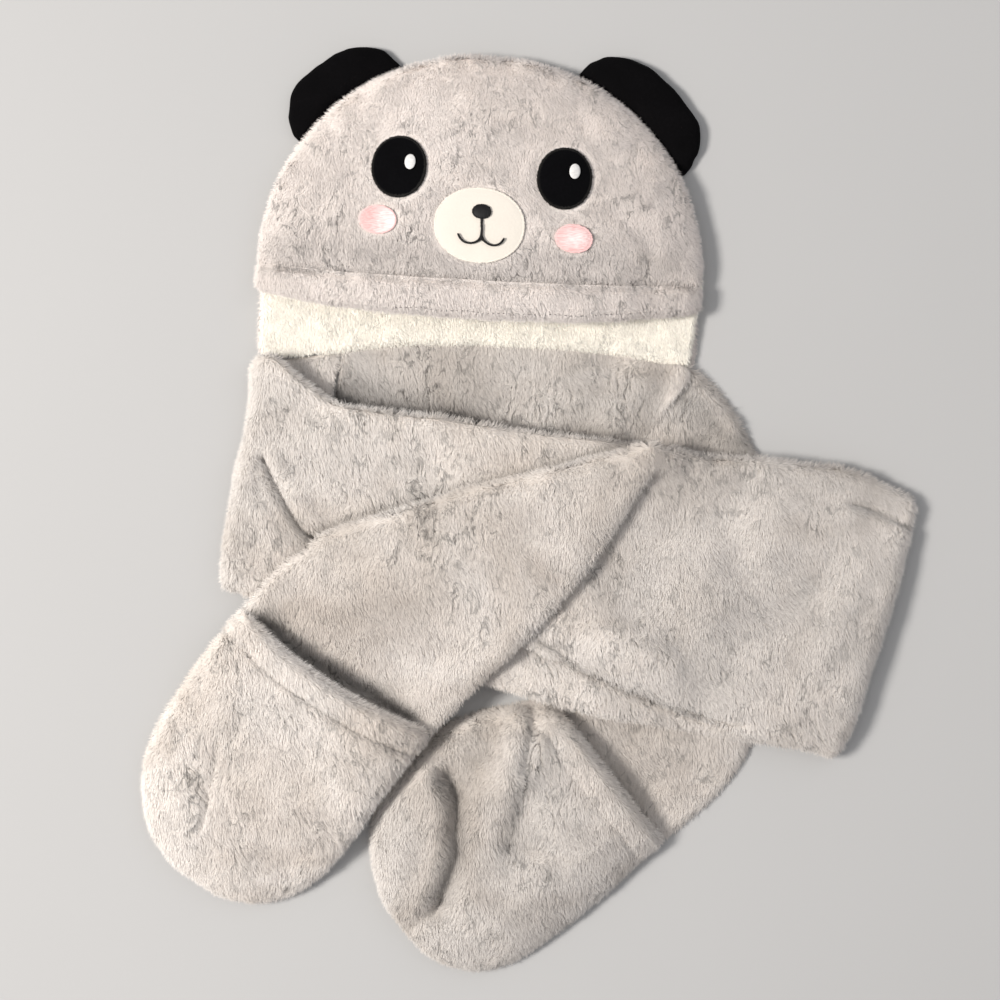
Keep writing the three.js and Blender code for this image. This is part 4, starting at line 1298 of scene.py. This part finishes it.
def fade_across(node, mesh):
    """Where the thread of a cheek turns from pink, 0, to white, 1."""
    points = points_of(mesh)
    low, high = points.min(axis=0), points.max(axis=0)
    share = (points - low) / (high - low)
    if node == "cheek_right":
        fade = 0.85 - 1.4 * np.linalg.norm(share[:, :2] - (0.56, 0.5), axis=1)
    else:
        fade = share[:, 0] * 1.3 - 0.35
    give(mesh, "fade", np.clip(fade, 0, 1))


def stitch_mesh():
    """One short stitch of unit length and unit width, along Y."""
    corners = []
    for place, size in ((-0.5, 0.35), (-0.3, 1.0), (0.3, 1.0), (0.5, 0.35)):
        corners += [(-0.5 * size, place, 0), (0, place, 0.5 * size), (0.5 * size, place, 0)]
    starts = [side + row for side in (0, 1) for row in (0, 3, 6)]
    faces = [(start + 1, start, start + 3, start + 4) for start in starts]
    mesh = bpy.data.meshes.new("stitch")
    mesh.from_pydata(corners, [], faces)
    return mesh


STITCH_SIZES = ("Spacing", "Reach", "Thickness", "Slant")


def stitch_tree():
    """Stitches side by side along a line, each across it."""
    if "stitches" in bpy.data.node_groups:
        return bpy.data.node_groups["stitches"]
    graph, given = new_tree("stitches", STITCH_SIZES, {"Stitch": "Object", "Material": "Material"})
    line = graph.add("GeometryNodeMeshToCurve", None, {0: given["Geometry"]})
    inputs = {0: line, "Length": given["Spacing"]}
    points = graph.add("GeometryNodeCurveToPoints", {"mode": "LENGTH"}, inputs)
    axes = {"primary_axis": "Z", "secondary_axis": "X"}
    turn = graph.add("FunctionNodeAxesToRotation", axes, {0: (0, 0, 1), 1: points.also("Tangent")})
    slant = graph.add("ShaderNodeCombineXYZ", None, {2: given["Slant"] + graph.chance(-0.3, 0.3, 4)})
    slanted = graph.add("FunctionNodeEulerToRotation", None, {0: slant})
    turned = graph.add("FunctionNodeRotateRotation", {"rotation_space": "LOCAL"}, {0: turn, 1: slanted})
    reach = given["Reach"] * graph.chance(0.65, 1.3, 5)
    thickness = given["Thickness"]
    size = graph.add("ShaderNodeCombineXYZ", None, {0: thickness, 1: reach, 2: thickness})
    stitch = graph.add("GeometryNodeObjectInfo", None, {0: given["Stitch"]}, 4)
    return end_tree(graph, given, points, stitch, turned, size)


def stitch_row(name, points, closed, sizes, finish):
    """Stitches along a line of points, as a piece."""
    mesh = bpy.data.meshes.new(name)
    edges = [(i, i + 1) for i in range(len(points) - 1)]
    if closed:
        edges.append((len(points) - 1, 0))
    mesh.from_pydata([tuple(point) for point in points], edges, [])
    row = linked(name, mesh)
    stitch = linked("stitch", stitch_mesh())
    modifier = row.modifiers.new("stitches", "NODES")
    modifier.node_group = stitch_tree()
    set_inputs(modifier, {**dict(zip(STITCH_SIZES, sizes)), "Stitch": stitch, "Material": finish})
    applied(row)
    all_smooth(row.data)
    bpy.data.objects.remove(stitch)
    return row


def stitch_ring(piece, name, reach, finish):
    """A satin edge round an applique."""
    mesh = piece.data
    points = points_of(mesh)
    middle = (points.min(axis=0) + points.max(axis=0))[:2] / 2
    tree = tree_of(mesh)
    out = points[:, :2] - middle
    turn = np.arctan2(out[:, 1], out[:, 0])
    away = np.linalg.norm(out, axis=1)
    ring = []
    steps = 72
    for step in range(steps):
        angle = -math.pi + (step + 0.5) * 2 * math.pi / steps
        near = np.abs(np.angle(np.exp(1j * (turn - angle)))) < 0.09
        far = away[near].max() - reach * 0.4
        x, y = middle + far * np.array((math.cos(angle), math.sin(angle)))
        spot = tree.ray_cast(Vector((x, y, 0.2)), Vector((0, 0, -1)))[0]
        ring.append((x, y, spot.z - 0.00005))
    return stitch_row(name, ring, True, (0.00052, reach, 0.00062, 0.15), finish)


def face_finishes(colours):
    """The finishes of the appliques by name."""
    white = (0.93, 0.9, 0.87)
    thread = tuple(colours.thread)
    blush = tuple(colours.blush)
    muzzle = tuple(colours.muzzle)
    return {
        "muzzle_cloth": felt("muzzle_cloth", muzzle),
        "muzzle_edge": satin("muzzle_edge", scaled(muzzle, 1.06), 0.3),
        "eye_velvet": velvet("eye_velvet", (0.0014, 0.0013, 0.0016)),
        "eye_edge": satin("eye_edge", (0.006, 0.005, 0.004), 0.7, None, 0.16),
        "blush": satin("blush", blush, 0.0, white),
        "blush_edge": satin("blush_edge", tinted(blush, white, 0.3), 0.0),
        "glint_satin": satin("glint_satin", scaled(white, 0.8), 0.0),
        "dark_satin": satin("dark_satin", thread, 1.57, None, 0.22),
        "nose_edge": satin("nose_edge", thread, 0.0, None, 0.22),
        "brim_thread": satin("brim_thread", (0.3, 0.27, 0.25), 0.0),
    }


class HOODSCARF_OT_pile(Maker, bpy.types.Operator):
    """Grow the pile on every cloth piece."""

    bl_idname = "hoodscarf.pile"
    bl_label = "Pile"

    def make(self, context):
        zones = {"left_arm": (-1.0, -0.11, 0.02, 0.1, 1.0)}
        for seed, (node, facts) in enumerate(CLOTH.items()):
            piece = bpy.data.objects[f"{node}_cloth"]
            edges = zones.get(node, (-1.0, 1.0))
            for index, zone in enumerate(zip(edges[:-1], edges[1:])):
                name = f"{node}_pile_{index + 1}" if len(edges) > 2 else f"{node}_pile"
                strands = grow_pile(piece, name, facts.plush, seed * 7 + index, zone)
                settle(strands, PLUSH[facts.plush].slot)


class HOODSCARF_PT_panel(bpy.types.Panel):
    """The pieces of the hood scarf, in the order in which they are made."""

    bl_idname = "HOODSCARF_PT_panel"
    bl_label = "Hood Scarf"
    bl_space_type = "VIEW_3D"
    bl_region_type = "UI"
    bl_category = "Hood Scarf"

    def draw(self, context):
        for settings in ("hood_stage", "hood_colours", "hood_pile"):
            group = getattr(context.scene, settings)
            for name in group.__annotations__:
                self.layout.prop(group, name)
        for operator in OPERATORS:
            self.layout.operator(operator.bl_idname)


OPERATORS = (
    HOODSCARF_OT_stage,
    HOODSCARF_OT_hood,
    HOODSCARF_OT_scarf,
    HOODSCARF_OT_ears,
    HOODSCARF_OT_face,
    HOODSCARF_OT_pile,
)
GROUPS = {"hood_pile": PileSettings, "hood_colours": ColourSettings, "hood_stage": StageSettings}


def register():
    for group in GROUPS.values():
        bpy.utils.register_class(group)
    for name, group in GROUPS.items():
        setattr(bpy.types.Scene, name, bpy.props.PointerProperty(type=group))
    for operator in OPERATORS:
        bpy.utils.register_class(operator)
    bpy.utils.register_class(HOODSCARF_PT_panel)


def unregister():
    bpy.utils.unregister_class(HOODSCARF_PT_panel)
    for operator in reversed(OPERATORS):
        bpy.utils.unregister_class(operator)
    for name in GROUPS:
        delattr(bpy.types.Scene, name)
    for group in GROUPS.values():
        bpy.utils.unregister_class(group)


def main():
    register()
    for operator in OPERATORS:
        family, name = operator.bl_idname.split(".")
        getattr(getattr(bpy.ops, family), name)()


if __name__ == "__main__":
    main()
